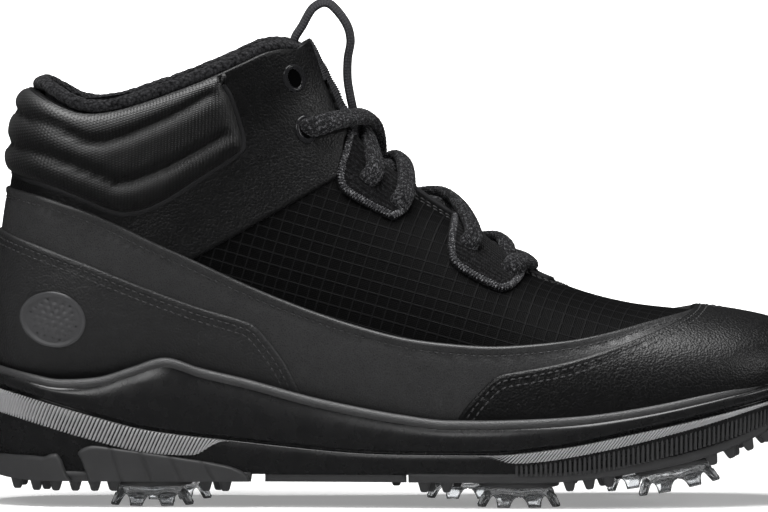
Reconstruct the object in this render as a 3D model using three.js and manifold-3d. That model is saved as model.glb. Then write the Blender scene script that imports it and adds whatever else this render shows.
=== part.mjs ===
// Spiked golf boot, right foot: +X runs to the toe, -Y is the lateral side, +Z is up and the ground is z
// = 0.
// The upper is built in layers over one last. Every panel is a layer of that last, cut by the panel's
// side pattern.
import * as THREE from 'three';
import { mergeVertices } from 'three/addons/utils/BufferGeometryUtils.js';
import { ParametricGeometry } from 'three/addons/geometries/ParametricGeometry.js';
import Module from 'manifold-3d';

const wasm = await Module();
wasm.setup();

// ---------- driving dimensions, millimetres ----------
const soleLength = 302;          // heel to toe, over the midsole
const ballWidth = 106;           // across the ball, over the midsole
const upperHeight = 158.5;       // outsole bottom to the top of the collar
const toeSwing = 5;              // how far the toe tip leans to the medial side
const clearance = 0.3;           // air between neighbouring pieces
const panelThickness = 1.5;      // vamp, quarters and the lasting board
const overlayThickness = 1.4;    // band, heel overlay, toe cap and lace patches
const liningThickness = 3.6;     // waterproof bootie with its foam
const stiffenerThickness = 1.3;  // heel and toe stiffeners
const insoleThickness = 3.8;
const liningSeam = 16;           // where the forefoot's lining meets the ankle's
const vampSeam = 56;             // where the vamp's front meets its sides, just ahead of the throat
const collarPadThickness = 4.5;
const rimThickness = 2;          // how far the knitted rim stands out of the last
const tongueThickness = 4;
const tongueProud = 1;           // how far the tongue stands out of the last
const outsoleThickness = 3.4;
const laceWidth = 6.4;
const laceThickness = 3.2;
const agletLength = 20;
const agletRadius = 1.8;
const strapThickness = 1.2;
const strapWidth = 8;
const badgeThickness = 1.1;
const studRadius = 4.8;          // the cleat's stud
const studLength = 5.5;
const receptacleRadius = 9;
const receptacleHeight = 4.6;
const receptacleCover = 0.9;     // outsole under the receptacle
const cleatRadius = 12.2;        // the cleat's disc
const cleatDiscThickness = 2;
const cleatLegLength = 4.8;
const cleatLegCount = 8;
const bossRadius = 14.6;         // pad on the outsole above each cleat
const bossHeight = 1.9;
const nubHeight = 3.6;
const nubRadius = 2.6;

// ---------- grading ----------
const patternLength = 302;
const patternWidth = 106;
const patternHeight = 158.5;
const patternGround = 9;         // the patterns' height of the outsole bottom
const gradeX = soleLength / patternLength;
const gradeY = ballWidth / patternWidth;
const gradeZ = upperHeight / patternHeight;
const outsoleBottom = bossHeight + clearance + cleatDiscThickness + cleatLegLength;
const gx = (x) => x * gradeX;
const gz = (z) => outsoleBottom + (z - patternGround) * gradeZ;
const graded = (points) => points.map(([x, z]) => [gx(x), gz(z)]);

// ---------- layers over the last: distance from the last's surface ----------
const panelOut = panelThickness;
const overlayIn = panelOut + clearance;
const overlayOut = overlayIn + overlayThickness;
const badgeIn = overlayOut + clearance;
const liningOut = -clearance;
const liningIn = liningOut - liningThickness;
const stiffenerIn = liningOut - stiffenerThickness;
const insoleOut = liningIn - clearance;
const laceOver = overlayOut + clearance + laceThickness / 2;

// ---------- small tools ----------
const smooth = (a, b, x) => THREE.MathUtils.smoothstep(x, a, b);
const mix = THREE.MathUtils.lerp;

// Value along a list of numbers, by a Catmull-Rom curve.
function along(list, t) {
  const i = Math.min(Math.max(Math.floor(t), 0), list.length - 2);
  const p = (k) => list[Math.min(Math.max(k, 0), list.length - 1)];
  const f = t - i, a = p(i - 1), b = p(i), c = p(i + 1), d = p(i + 2);
  return b + 0.5 * f * (c - a + f * (2 * a - 5 * b + 4 * c - d + f * (3 * (b - c) + d - a)));
}

// Height over x through points sorted by x, level where they turn or run level.
function profile(points) {
  const xs = points.map((p) => p[0]), zs = points.map((p) => p[1]);
  const slope = zs.map((z, i) => {
    const a = Math.max(i - 1, 0), b = Math.min(i + 1, zs.length - 1);
    const turns = (zs[b] - z) * (z - zs[a]) <= 0;
    return turns && a < i && i < b ? 0 : (zs[b] - zs[a]) / (xs[b] - xs[a]);
  });
  return (x) => {
    if (x <= xs[0]) return zs[0] + slope[0] * (x - xs[0]);
    const last = xs.length - 1;
    if (x >= xs[last]) return zs[last] + slope[last] * (x - xs[last]);
    const i = xs.findIndex((v) => v > x) - 1;
    const w = xs[i + 1] - xs[i], t = (x - xs[i]) / w, t2 = t * t, t3 = t2 * t;
    return (2 * t3 - 3 * t2 + 1) * zs[i] + (t3 - 2 * t2 + t) * w * slope[i]
      + (3 * t2 - 2 * t3) * zs[i + 1] + (t3 - t2) * w * slope[i + 1];
  };
}

// A closed geometry as a solid, whichever way its faces were wound.
function solid(geometry) {
  const bare = geometry.index ? geometry.toNonIndexed() : geometry;
  const only = new THREE.BufferGeometry().setAttribute('position', bare.getAttribute('position'));
  const merged = mergeVertices(only, 1e-3);
  const index = merged.index.array;
  const vertProperties = merged.attributes.position.array;
  const make = (a, b, c) => {
    const triangles = [];
    for (let i = 0; i < index.length; i += 3) {
      const t = [index[i + a], index[i + b], index[i + c]];
      if (t[0] !== t[1] && t[1] !== t[2] && t[0] !== t[2]) triangles.push(...t);
    }
    const triVerts = new Uint32Array(triangles);
    return new wasm.Manifold(new wasm.Mesh({ numProp: 3, vertProperties, triVerts }));
  };
  const made = make(0, 1, 2);
  return made.volume() > 0 ? made : make(0, 2, 1);
}

function geometryOf(body) {
  const mesh = body.getMesh();
  const position = new Float32Array(mesh.numVert * 3);
  for (let i = 0; i < mesh.numVert; i++) {
    position.set(mesh.vertProperties.subarray(i * mesh.numProp, i * mesh.numProp + 3), i * 3);
  }
  return new THREE.BufferGeometry()
    .setAttribute('position', new THREE.BufferAttribute(position, 3))
    .setIndex(new THREE.BufferAttribute(mesh.triVerts, 1));
}

const closedSurface = (at, around, rows) => solid(new ParametricGeometry(at, around, rows));

// ---------- the last ----------
// Each station runs from a point on the bottom line, over the heel, to one on the ridge line of the instep.
// Columns: bottom x, bottom z, ridge x, ridge z, lateral half width, medial half width.
const stations = [
  [143.5, 49, 143.5, 49, 0, 0],
  [141, 43.5, 142, 55.5, 15, 15],
  [134, 38.5, 135.5, 61.3, 28, 28],
  [122, 33, 122, 64.8, 38, 37.5],
  [105, 28, 104, 67.3, 43.5, 42.5],
  [84, 24, 81, 70.2, 46.5, 44.5],
  [62, 21.5, 60, 76, 47.5, 45],
  [40, 20.5, 40, 85.5, 46.5, 42],
  [18, 21, 21, 101, 44, 37.5],
  [-6, 23, 5.5, 112.5, 40.5, 34],
  [-32, 27, -6.2, 122.3, 37.5, 32],
  [-60, 31.5, -13.6, 131, 35.5, 32],
  [-90, 35, -18.2, 138.6, 34.5, 33],
  [-116, 36.5, -21.2, 143.5, 34.5, 33.5],
  [-134, 41, -23, 147.5, 34.5, 33.5],
  [-142.5, 54, -24.6, 150.5, 34.5, 33.5],
  [-144, 72, -26.2, 153.5, 34, 33.5],
  [-142.5, 90, -28, 157, 34.5, 34],
  [-139.5, 112, -29.9, 160.5, 36, 35.5],
  [-135.5, 136, -32.4, 165.3, 37.5, 37],
  [-130.5, 157, -35.5, 171, 38.5, 38],
  [-126, 172, -39, 178, 39, 39],
];
const column = (k) => stations.map((row) => row[k]);
const [bottomX, bottomZ, ridgeX, ridgeZ] = [column(0).map(gx), column(1).map(gz), column(2).map(gx),
  column(3).map(gz)];
const halfLateral = column(4).map((w) => w * gradeY);
const halfMedial = column(5).map((w) => w * gradeY);
const stationEnd = stations.length - 1;
const heelStation = 14;          // where the bottom line turns up the back of the heel
const instepStation = 8;

const centreLine = (x) => toeSwing * smooth(gx(40), gx(145), x);

// A point on the last: t counts stations, h runs 0 to 1 from the bottom line to the ridge, side is -1
// lateral or 1 medial.
function lastPoint(t, h, side, out = new THREE.Vector3()) {
  const bx = along(bottomX, t), bz = along(bottomZ, t), tx = along(ridgeX, t), tz = along(ridgeZ, t);
  const shaft = smooth(instepStation, heelStation, t);
  const widest = mix(0.33, 0.5, shaft);
  const corner = h < widest ? mix(4, 3, shaft) : 2.15;
  const reach = h < widest ? (widest - h) / widest : (h - widest) / (1 - widest);
  const full = Math.pow(Math.max(1 - Math.pow(reach, corner), 0), 1 / corner);
  const half = along(side < 0 ? halfLateral : halfMedial, t) * full;
  const x = mix(bx, tx, h);
  return out.set(x, centreLine(x) + side * half, mix(bz, tz, h));
}

const stepT = 0.02, stepH = 0.004;
function sideNormal(t, h, side) {
  const inside = THREE.MathUtils.clamp(h, stepH * 1.5, 1 - stepH * 1.5);
  const tt = THREE.MathUtils.clamp(t, stepT * 4, stationEnd - stepT);
  const dt = lastPoint(tt + stepT, inside, side).sub(lastPoint(tt - stepT, inside, side));
  const dh = lastPoint(tt, inside + stepH, side).sub(lastPoint(tt, inside - stepH, side));
  return dt.cross(dh).multiplyScalar(side).normalize();
}
// Away from the foot; on the bottom and ridge lines both sides share it.
function lastNormal(t, h, side) {
  if (t < stepT) return new THREE.Vector3(1, 0, 0);
  if (h > stepH && h < 1 - stepH) return sideNormal(t, h, side);
  return sideNormal(t, h, -1).add(sideNormal(t, h, 1)).setY(0).normalize();
}

const sectionsAlong = 20, pointsPerSide = 6;
const lastCache = new Map();
// The last grown by an offset, as a closed solid.
function last(offset) {
  if (!lastCache.has(offset)) {
    lastCache.set(offset, closedSurface((around, row, target) => {
      const side = around < 0.5 ? -1 : 1;
      const turn = around < 0.5 ? around * 2 : 2 - around * 2;
      const h = (1 - Math.cos(Math.PI * turn)) / 2;
      const capped = row > (sectionsAlong - 0.5) / sectionsAlong;
      const s = Math.min(row * sectionsAlong / (sectionsAlong - 1), 1);
      const t = stationEnd * Math.pow(s, 1.12);
      lastPoint(t, h, side, target);
      if (!capped) target.addScaledVector(lastNormal(t, h, side), offset);
      if (capped || t < stepT || h < 1e-9 || h > 1 - 1e-9) target.y = centreLine(target.x);
    }, pointsPerSide * 2, sectionsAlong));
  }
  return lastCache.get(offset);
}
const layer = (inner, outer) => last(outer).subtract(last(inner));

// The spot on the last seen at (x, z) from the side, and the normal there.
function spot(x, z, side) {
  const across = (t) => {
    const bx = along(bottomX, t), bz = along(bottomZ, t);
    return (along(ridgeX, t) - bx) * (z - bz) - (along(ridgeZ, t) - bz) * (x - bx);
  };
  let low = 0.3, high = stationEnd;
  for (let i = 0; i < 40; i++) {
    const middle = (low + high) / 2;
    if (across(middle) > 0) low = middle;
    else high = middle;
  }
  const bx = along(bottomX, low), bz = along(bottomZ, low);
  const dx = along(ridgeX, low) - bx, dz = along(ridgeZ, low) - bz;
  const h = THREE.MathUtils.clamp(((x - bx) * dx + (z - bz) * dz) / (dx * dx + dz * dz), 0, 1);
  return { point: lastPoint(low, h, side), normal: lastNormal(low, h, side) };
}
const onLast = ([x, z], side, offset) => {
  const { point, normal } = spot(gx(x), gz(z), side);
  return { point: point.addScaledVector(normal, offset), normal };
};

// ---------- side patterns ----------
// A smooth line through pattern points.
const curve = (points, per = 1) => new THREE.SplineCurve(points.map((p) => new THREE.Vector2(...p)))
  .getPoints((points.length - 1) * per).map((p) => [p.x, p.y]);

const far = 220;                 // beyond the boot on every side
const between = (from, to) => [[from, -10], [to, -10], [to, far], [from, far]];
const wholeSide = between(-far, far);
// The pattern's closed outline, extruded across the boot between two values of y.
function prism(points, from = -far, to = far) {
  const shape = new THREE.Shape(graded(points).map((p) => new THREE.Vector2(...p)));
  const geometry = new THREE.ExtrudeGeometry(shape, { depth: to - from, bevelEnabled: false });
  return solid(geometry.rotateX(Math.PI / 2).translate(0, to, 0));
}
const lateralOf = (points) => prism(points, -far, -clearance / 2);
const medialOf = (points) => prism(points, clearance / 2, far);

// The outline moved out by a distance on all sides.
function grown(points, distance) {
  const n = points.length;
  const area = points.reduce((sum, p, i) => {
    const q = points[(i + 1) % n];
    return sum + p[0] * q[1] - q[0] * p[1];
  }, 0);
  const turn = area > 0 ? 1 : -1;
  return points.map((p, i) => {
    const a = points[(i + n - 1) % n], b = points[(i + 1) % n];
    const e1 = new THREE.Vector2(p[0] - a[0], p[1] - a[1]).normalize();
    const e2 = new THREE.Vector2(b[0] - p[0], b[1] - p[1]).normalize();
    const n1 = new THREE.Vector2(e1.y, -e1.x), n2 = new THREE.Vector2(e2.y, -e2.x);
    const m = n1.clone().add(n2).normalize();
    const k = turn * distance / Math.max(m.dot(n1), 0.5);
    return [p[0] + m.x * k, p[1] + m.y * k];
  });
}

// Lines shared by neighbouring panels, heel to toe.
const collarLine = curve([[-150, 157], [-134, 150], [-126.5, 145.8], [-116, 141.6], [-105, 142], [-90.5,
  146.2],
  [-72.5, 153], [-58, 159.5], [-50, 163], [-43, 164], [-37, 163]]);
const rimLine = curve([[-150, 160], [-134, 153], [-130, 154.5], [-126.5, 153.5], [-116, 147.6], [-108,
  145.8],
  [-98.5, 147.2], [-87, 151], [-72.5, 157.2], [-58, 164], [-50, 166.8], [-43, 167.5], [-37, 167]]);
const bandTop = curve([[-160, 116], [-143, 114], [-134, 112.7], [-123, 109.8], [-108.5, 104.4], [-90.5,
  95.6], [-74.5, 88.4],
  [-54.5, 79.2], [-36.5, 72], [-18.5, 65.9], [0, 61], [17.5, 58.6], [35.5, 57.4], [57, 58.3], [71.5,
    60.1], [89.5, 63.6], [104, 66.4], [116, 70]]);
const heelTop = curve([[-160, 103.5], [-144.7, 99.7], [-137.5, 96.8], [-123, 91.1], [-108.5, 85.3],
  [-90.5, 78.1], [-72.5, 71.6],
  [-58, 67.3], [-52.5, 64.8], [-49, 61.2], [-42, 52.2], [-35, 39.6], [-31, 30], [-29, 12]]);
const toeEdge = curve([[12, 12], [16, 25], [19, 30.6], [24.5, 37.8], [31.5, 45], [35.5, 47.6], [42.5,
  48.8], [57, 51], [71.5, 54.4],
  [89.5, 59.6], [100, 63.7], [105.5, 67.3], [109, 71], [112, 80]]);
const quarterFoot = [[0, 139], [-21.4, 131.5], [-23, 117.7], [-74.5, 89], [-88, 80], [-92, 62], [-92, 5]];
const padWindow = curve([[-64.5, 162], [-66, 155], [-62.5, 147.5], [-59.4, 138], [-57.6, 130.5], [-59.5,
  126.3], [-72.5, 117.6], [-87, 108.6],
  [-98, 105.3], [-105, 106.4], [-116, 111], [-127, 115.2], [-140.5, 118.8], [-160, 122]]);

const underCollar = [...collarLine, [-37, 240], [170, 240], [170, -5], [-170, -5], [-170, 157]];
const underRimLine = [...rimLine, [-33, 166], [-20, 160], [170, 160], [170, -5], [-170, -5], [-170, 160]];
const padOutline = [...padWindow, [-160, 180], [-64.5, 180]];
const quarterOutline = [...collarLine, [-37, 240], [0, 240], ...quarterFoot, [-170, 5], [-170, 157]];
const vampOutline = [...quarterFoot, [170, 5], [170, 240], [0, 240]];
const bandOutline = [...bandTop, [116, 5], [-160, 5]];
const heelOutline = [...heelTop, [-160, 12]];
const toeOutline = [...toeEdge, [170, 80], [170, 12]];
const heelStiffenerOutline = [[-170, 92], [-128, 88], [-104, 78], [-92, 62], [-88, 44], [-88, 5], [-170,
  5]];
const toeStiffenerOutline = [[98, 5], [100, 45], [108, 60], [114, 80], [170, 80], [170, 5]];
const lowerPatch = [...curve([[16.2, 103], [15.2, 98], [15.6, 88], [19, 84.6], [31.5, 77.2], [37, 76.2],
  [41.8, 79], [43.6, 83.4]], 2), [43.6, 110], [16.2, 120]];
const upperPatch = [...curve([[-21.6, 129.5], [-23.6, 122], [-23.8, 116.2], [-20.5, 111], [-6, 102.8],
  [-3.4, 101.9], [1.2, 104.8], [3.8, 111.4]], 2), [3.8, 125], [-21.6, 140]];

// Height over the last's bottom line, for the lasting board and the insole.
const footBottom = stations.slice(1, 14).map((row) => [row[0], row[1]]).reverse();
const lifted = (rise) => [[-170, 41 + rise], ...footBottom.map(([x, z]) => [x, z + rise]), [170,
  52 + rise], [170, -5], [-170, -5]];
const boardOutline = lifted(5);
const insoleOutline = lifted(insoleThickness - insoleOut);

// ---------- throat ----------
// The opening over the instep: half its width along the ridge, by station of the last.
const throatWidths = [[6.3, 0], [6.4, 5], [6.7, 7.4], [7.5, 9], [9, 11], [11, 13.5], [13, 13.5], [15,
  12.5], [17, 12], [19, 11.5],
  [21, 11.5], [23.5, 11.5]];
const throatDeep = 14, throatHigh = 30;
function throat(extra) {
  const rows = throatWidths.length - 1;
  return closedSurface((around, row, target) => {
    const k = Math.round(row * (rows + 2)) - 1;
    const capped = k < 0 || k > rows;
    const [t, w] = throatWidths[THREE.MathUtils.clamp(k, 0, rows)];
    const shift = k < 1 ? -extra : 0;
    const at = Math.min(t, stationEnd);
    const n = lastNormal(at, 1, 1);
    const run = lastPoint(Math.min(at, stationEnd), 1, 1).sub(lastPoint(Math.min(at, stationEnd) - 0.1, 1,
      1)).normalize();
    const corner = Math.round(around * 4) % 4;
    const wide = capped ? 0 : (w + extra) * (corner < 2 ? 1 : -1);
    const lift = capped ? 0 : corner === 0 || corner === 3 ? -throatDeep : throatHigh;
    lastPoint(at, 1, 1, target).addScaledVector(n, lift).addScaledVector(run, (t - at) * 8 + shift);
    target.y += wide;
  }, 4, rows + 2);
}

// ---------- materials ----------
const material = (color, roughness, metalness = 0, opacity = 1) => new THREE.MeshStandardMaterial({
  color, roughness, metalness, opacity, transparent: opacity < 1,
});
const finish = {
  smoothLeather: material(0x1c1c1d, 0.42),
  grainLeather: material(0x151516, 0.5),
  quarterLeather: material(0x191919, 0.5),
  ripstop: material(0x0c0c0d, 0.8),
  stretchKnit: material(0x1b1b1d, 0.75),
  terry: material(0x232325, 0.95),
  lining: material(0x202022, 0.9),
  board: material(0x6d675c, 0.9),
  foam: material(0x2a2a2c, 0.85),
  webbing: material(0x2b2b2e, 0.8),
  lace: material(0x2c2c2f, 0.85),
  hardPlastic: material(0x101011, 0.3),
  midsole: material(0x131314, 0.35),
  outsole: material(0x1d1d1e, 0.45),
  badge: material(0x2c2c2e, 0.4),
  clear: material(0xc9cccb, 0.12, 0, 0.45),
};

const boot = new THREE.Group();
const crumb = 8;                 // mm3, what a cut may leave over beside the piece
function add(name, body, look) {
  const large = solid(geometryOf(body)).decompose().filter((b) => b.volume() > crumb);
  const mesh = new THREE.Mesh(geometryOf(large.length === 1 ? large[0] : body), look);
  mesh.name = name;
  boot.add(mesh);
}

// ---------- lace ----------
const eyelets = [[37.1, 82], [22.2, 91.6], [-2.4, 106.6], [-13.6, 115.4], [-35.4, 134.6]];
const spareEyelet = [-40.3, 153.4];
const throatward = [0.62, 0.78]; // from an eyelet to the throat, seen from the side
const underLace = liningOut - clearance - laceThickness / 2;
const holeMiddle = (laceOver + underLace) / 2, holeTurn = (laceOver - underLace) / 2;
const insideLace = liningIn - clearance - laceThickness / 2;

// The ridge above pattern x, lifted off the last.
function overRidge(x, offset) {
  let low = 0, high = stationEnd;
  for (let i = 0; i < 40; i++) {
    const middle = (low + high) / 2;
    if (along(ridgeX, middle) > gx(x)) low = middle;
    else high = middle;
  }
  const normal = lastNormal(low, 1, 1);
  return { point: lastPoint(low, 1, 1).addScaledVector(normal, offset), normal };
}

// The lace's turn through an eyelet: half a circle from the outside to the inside of the panels.
function eyeletTurn(eyelet, s) {
  const { point, normal } = onLast(eyelet, s, 0);
  const inward = onLast([eyelet[0] + throatward[0] * 2, eyelet[1] + throatward[1] * 2], s, 0)
    .point.sub(point);
  inward.addScaledVector(normal, -inward.dot(normal)).normalize();
  return [1, 0.5, 0, -0.5, -1].map((q) => {
    const angle = q * Math.PI / 2;
    return point.clone().addScaledVector(inward, holeTurn * (1 - Math.cos(angle)))
      .addScaledVector(normal, holeMiddle + holeTurn * Math.sin(angle));
  });
}

// One half of the lace, from the middle of the bar at the lowest eyelets to the end tucked inside.
function halfLace(side, lift) {
  const bar = overRidge(eyelets[0][0] + 7, tongueProud + laceThickness).point;
  const route = [bar, ...eyeletTurn(eyelets[0], side)];
  let s = side;
  for (let i = 1; i < 4; i++) {
    const midway = (eyelets[i][0] + eyelets[i - 1][0]) / 2 + 4;
    const crossing = overRidge(midway, tongueProud + lift * (i % 2 ? 1 : -1) + laceThickness * 0.6).point;
    s = -s;
    route.push(crossing, ...eyeletTurn(eyelets[i], s).reverse());
  }
  s = -s;
  const top = eyelets[4];
  route.push(overRidge(-16, tongueProud + lift + laceThickness * 0.9).point);
  for (const [dx, dz, offset] of [[9, 1.5, laceOver + 1], [3, 0.4, laceOver], [-0.4, 0, 0.6], [-2, -5,
    insideLace],
    [-5, -20, insideLace - 3], [-8, -36, insideLace - 8]]) {
    route.push(onLast([top[0] + dx, top[1] + dz], s, offset).point);
  }
  return { route, s };
}

// A flat section swept along a route, its width kept as near as it can be to one direction; closed at
// both ends.
function sweep(points, widthAlong, width, thickness, steps, sides, from = 0, to = 1) {
  const line = new THREE.CatmullRomCurve3(points, false, 'centripetal');
  return closedSurface((around, row, target) => {
    const k = mix(from, to, THREE.MathUtils.clamp((row * (steps + 2) - 1) / steps, 0, 1));
    const ended = row * (steps + 2) < 0.5 || row * (steps + 2) > steps + 1.5;
    const tangent = line.getTangentAt(k);
    const across = widthAlong.clone().addScaledVector(tangent, -widthAlong.dot(tangent)).normalize();
    const normal = across.clone().cross(tangent);
    const angle = 2 * Math.PI * around;
    line.getPointAt(k, target);
    if (!ended) target.addScaledVector(across, Math.cos(angle) * width / 2).addScaledVector(normal,
      Math.sin(angle) * thickness / 2);
  }, sides, steps + 2);
}

const laceLift = laceThickness / 2 + 0.5;
const halves = [halfLace(-1, laceLift), halfLace(1, -laceLift)];
const wholeRoute = [...halves[0].route.slice().reverse(), ...halves[1].route.slice(1)];
const laceSteps = 92, laceSides = 6;
const alongThroat = new THREE.Vector3(-0.78, 0, 0.62);
const lace = sweep(wholeRoute, alongThroat, laceWidth, laceThickness, laceSteps, laceSides);
// Each half's own room, so that where the halves cross neither room runs through itself.
const laceRooms = [[0, 0.5], [0.5, 1]].map(([from, to]) => sweep(wholeRoute, alongThroat,
  laceWidth + 4 * clearance, laceThickness + 4 * clearance, laceSteps / 2, laceSides, from, to));
const eyeletHole = (body) => body.subtract(laceRooms[0]).subtract(laceRooms[1]);

// ---------- sole ----------
const bottomLine = profile(graded([[-151, 12], [-141, 9.8], [-130, 9], [0, 9], [45, 9], [57, 9.4], [70,
  10.6], [84, 12.6],
  [98, 15.2], [110, 18.2], [122, 22.6], [134, 28], [145, 34], [151, 38]]));
const grooveLine = profile(graded([[-151, 44], [-135, 40], [-112, 33.5], [-91.8, 28.4], [-58, 24.3], [-21,
  20.6], [4, 19.8],
  [29, 19.8], [57, 22.4], [80.6, 27], [104.4, 32], [131.8, 38.5], [151, 43.6]]));
const rimTop = profile(graded([[-151, 50.5], [-134, 46.8], [-123, 45], [-108.7, 46], [-97.9, 49.3],
  [-85.3, 52.9], [-72.7, 49.3],
  [-54.7, 45], [-35, 39.6], [-18.7, 36], [-0.7, 32.8], [17.3, 30.8], [35.3, 31], [57, 32], [71.3, 33.3],
    [89.3, 36],
  [107.3, 39.6], [131.8, 45], [151, 48.5]]));
const planLateral = [[151, 0], [149.6, 12], [144, 24], [135, 34.5], [122, 43.5], [105, 49.5], [84, 52.6],
  [62, 53.4], [40, 52.2],
  [18, 49.6], [-6, 46.4], [-32, 43.4], [-60, 41.4], [-90, 40.4], [-115, 38.8], [-131, 33.8], [-143, 23.6],
    [-149.3, 12], [-151, 0]];
const planMedial = [[151, 0], [149.6, 12], [144, 24], [135, 34.5], [122, 43], [105, 48.2], [84, 50.4],
  [62, 50.4], [40, 47.4],
  [18, 43.2], [-6, 39.8], [-32, 38.2], [-60, 38.6], [-90, 39.4], [-115, 38.4], [-131, 33.8], [-143, 23.6],
    [-149.3, 12], [-151, 0]];

// The sole's outline from above, moved out by an offset; turn runs 0 at the toe to 1 at the heel.
function planPoint(turn, side, offset) {
  const plan = side < 0 ? planLateral : planMedial;
  const t = turn * (plan.length - 1);
  const at = (k) => new THREE.Vector2(along(plan.map((p) => gx(p[0])), k),
    along(plan.map((p) => p[1] * gradeY), k));
  const point = at(t);
  const ahead = at(Math.min(t + 0.01, plan.length - 1)).sub(at(Math.max(t - 0.01, 0))).normalize();
  const normal = turn < 1e-6 ? new THREE.Vector2(1, 0) : turn > 1 - 1e-6 ? new THREE.Vector2(-1,
    0) : new THREE.Vector2(-ahead.y, ahead.x);
  return point.addScaledVector(normal, normal.x * point.x + normal.y * point.y > 0 ? offset : -offset);
}

const soleRows = [
  { out: -3.4, z: (x) => rimTop(x) - 0.8 },
  { out: -2, z: rimTop },
  { out: -0.8, z: (x) => rimTop(x) - 1.2 },
  { out: 0.4, z: (x) => mix(rimTop(x), grooveLine(x), 0.5) },
  { out: -0.4, z: (x) => grooveLine(x) + 0.9 },
  { out: -1.7, z: grooveLine },
  { out: -0.4, z: (x) => grooveLine(x) - 0.9 },
  { out: -0.2, z: (x) => mix(grooveLine(x), bottomLine(x), 0.35) },
  { out: -1.1, z: (x) => bottomLine(x) + outsoleThickness * 0.75 },
  { out: -2.2, z: bottomLine },
];
const solePoints = 15;           // along each side
// The sole's whole outer shape, shrunk inwards by an inset.
function soleShape(inset) {
  const rows = soleRows.length + 1;
  return closedSurface((around, row, target) => {
    const side = around < 0.5 ? -1 : 1;
    const turn = around < 0.5 ? around * 2 : 2 - around * 2;
    const k = Math.round(row * rows);
    const level = soleRows[Math.min(Math.max(k - 1, 0), soleRows.length - 1)];
    const capped = k === 0 || k === rows;
    const p = planPoint(turn, side, capped ? 0 : level.out - inset);
    if (capped) p.x *= 0.9;
    const middle = capped || turn < 1e-6 || turn > 1 - 1e-6;
    target.set(p.x, centreLine(p.x) + (middle ? 0 : side * Math.max(p.y, 0)), level.z(p.x));
  }, solePoints * 2, rows);
}
const soleWhole = soleShape(0);

// Everything across the boot between two heights over x, from one x to another.
function slab(from, to, lower, upper) {
  const pieces = Math.ceil((to - from) / 12);
  const xs = Array.from({ length: pieces + 1 }, (_, i) => mix(from, to, i / pieces));
  const outline = [...xs.map((x) => [x, lower(x)]), ...xs.slice().reverse().map((x) => [x, upper(x)])];
  const shape = new THREE.Shape(outline.map((p) => new THREE.Vector2(...p)));
  const geometry = new THREE.ExtrudeGeometry(shape, { depth: 2 * far, bevelEnabled: false });
  return solid(geometry.rotateX(Math.PI / 2).translate(0, far, 0));
}
const deep = () => -30;
const plateTop = (x) => bottomLine(x) + outsoleThickness;
const heelEnd = gx(-54), midfootStart = gx(-49), midfootEnd = gx(2), forefootStart = gx(2) + clearance;
const heelBlocks = profile(graded([[-151, 22.5], [-118, 21.4], [-112, 22.6], [-90, 19.6], [-57, 14], [-54,
  13]]));
const wrap = 4.5;                // how far the heel's side blocks reach in
const heelOutsoleZone = slab(gx(-170), heelEnd, deep, heelBlocks)
  .subtract(soleShape(wrap).intersect(slab(gx(-170), gx(-40), plateTop, () => 80)));
const heelOutsoleRoom = slab(gx(-170), heelEnd + clearance, deep, (x) => heelBlocks(x) + clearance)
  .subtract(soleShape(wrap + clearance).intersect(slab(gx(-170), gx(-40), (x) => plateTop(x) + clearance,
    () => 80)));
const midfootZone = slab(midfootStart, midfootEnd, deep, plateTop);
const forefootZone = slab(forefootStart, gx(170), deep, plateTop);
const frontRoom = slab(heelEnd - 1, gx(170), deep, (x) => plateTop(x) + clearance);

// ---------- cleats ----------
const cleatSpots = [
  ['heel_lateral', -90, -20.5], ['heel_medial', -84, 20],
  ['ball_lateral', 42, -33], ['ball_medial', 24, 23],
  ['front_lateral', 98, -27.5], ['front_medial', 88, 29],
];
// The frame of a cleat: its origin on the outsole's bottom, its z axis out of the sole's inside.
function cleatFrame(x, y) {
  const at = gx(x), step = 8;
  const tilt = at < gx(60) ? 0 : Math.atan2(bottomLine(at + step) - bottomLine(at - step), 2 * step);
  const frame = new THREE.Matrix4().makeRotationY(-tilt);
  return frame.setPosition(at, y * gradeY, bottomLine(at));
}
const placed = (geometry, frame) => solid(geometry.applyMatrix4(frame));
const roundPlate = (radius, from, to, frame, segments = 16, top = radius) => placed(
  new THREE.CylinderGeometry(top, radius, to - from, segments).rotateX(Math.PI / 2).translate(0, 0,
    (from + to) / 2), frame);
const discTop = -bossHeight - clearance;
const discBottom = discTop - cleatDiscThickness;
const legTip = discBottom - cleatLegLength;
const legFlare = 3.2;            // how far a leg reaches out beyond the disc
const legWall = 2.6;
const studTop = discTop + studLength;
const archRadius = 3.1;

function cleatBody(frame) {
  const skirt = [[0, discTop], [cleatRadius, discTop], [cleatRadius + 0.7, discBottom + 0.6],
    [cleatRadius + legFlare, legTip],
    [cleatRadius + legFlare - legWall * 0.7, legTip], [cleatRadius - legWall + 0.2, discBottom], [3,
      discBottom], [2.2, legTip + 2], [0, legTip + 2]];
  const turned = new THREE.LatheGeometry(skirt.map((p) => new THREE.Vector2(...p)), cleatLegCount * 2)
    .rotateX(Math.PI / 2);
  let body = placed(turned, frame);
  for (let i = 0; i < cleatLegCount; i++) {
    const arch = new THREE.CylinderGeometry(archRadius, archRadius, 12, 5);
    arch.scale(1, 1, 1.35).rotateZ(Math.PI / 2).translate(cleatRadius + 1, 0, legTip - 0.2);
    body = body.subtract(placed(arch.rotateZ(2 * Math.PI * (i + 0.5) / cleatLegCount), frame));
  }
  return body.add(roundPlate(studRadius, discTop - 0.5, studTop, frame, 12));
}

let midsole = soleWhole.subtract(heelOutsoleRoom).subtract(frontRoom)
  .subtract(last(overlayOut + clearance));
let heelOutsole = soleWhole.intersect(heelOutsoleZone);
const midfootPlate = soleWhole.intersect(midfootZone);
let forefootOutsole = soleWhole.intersect(forefootZone);

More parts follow.
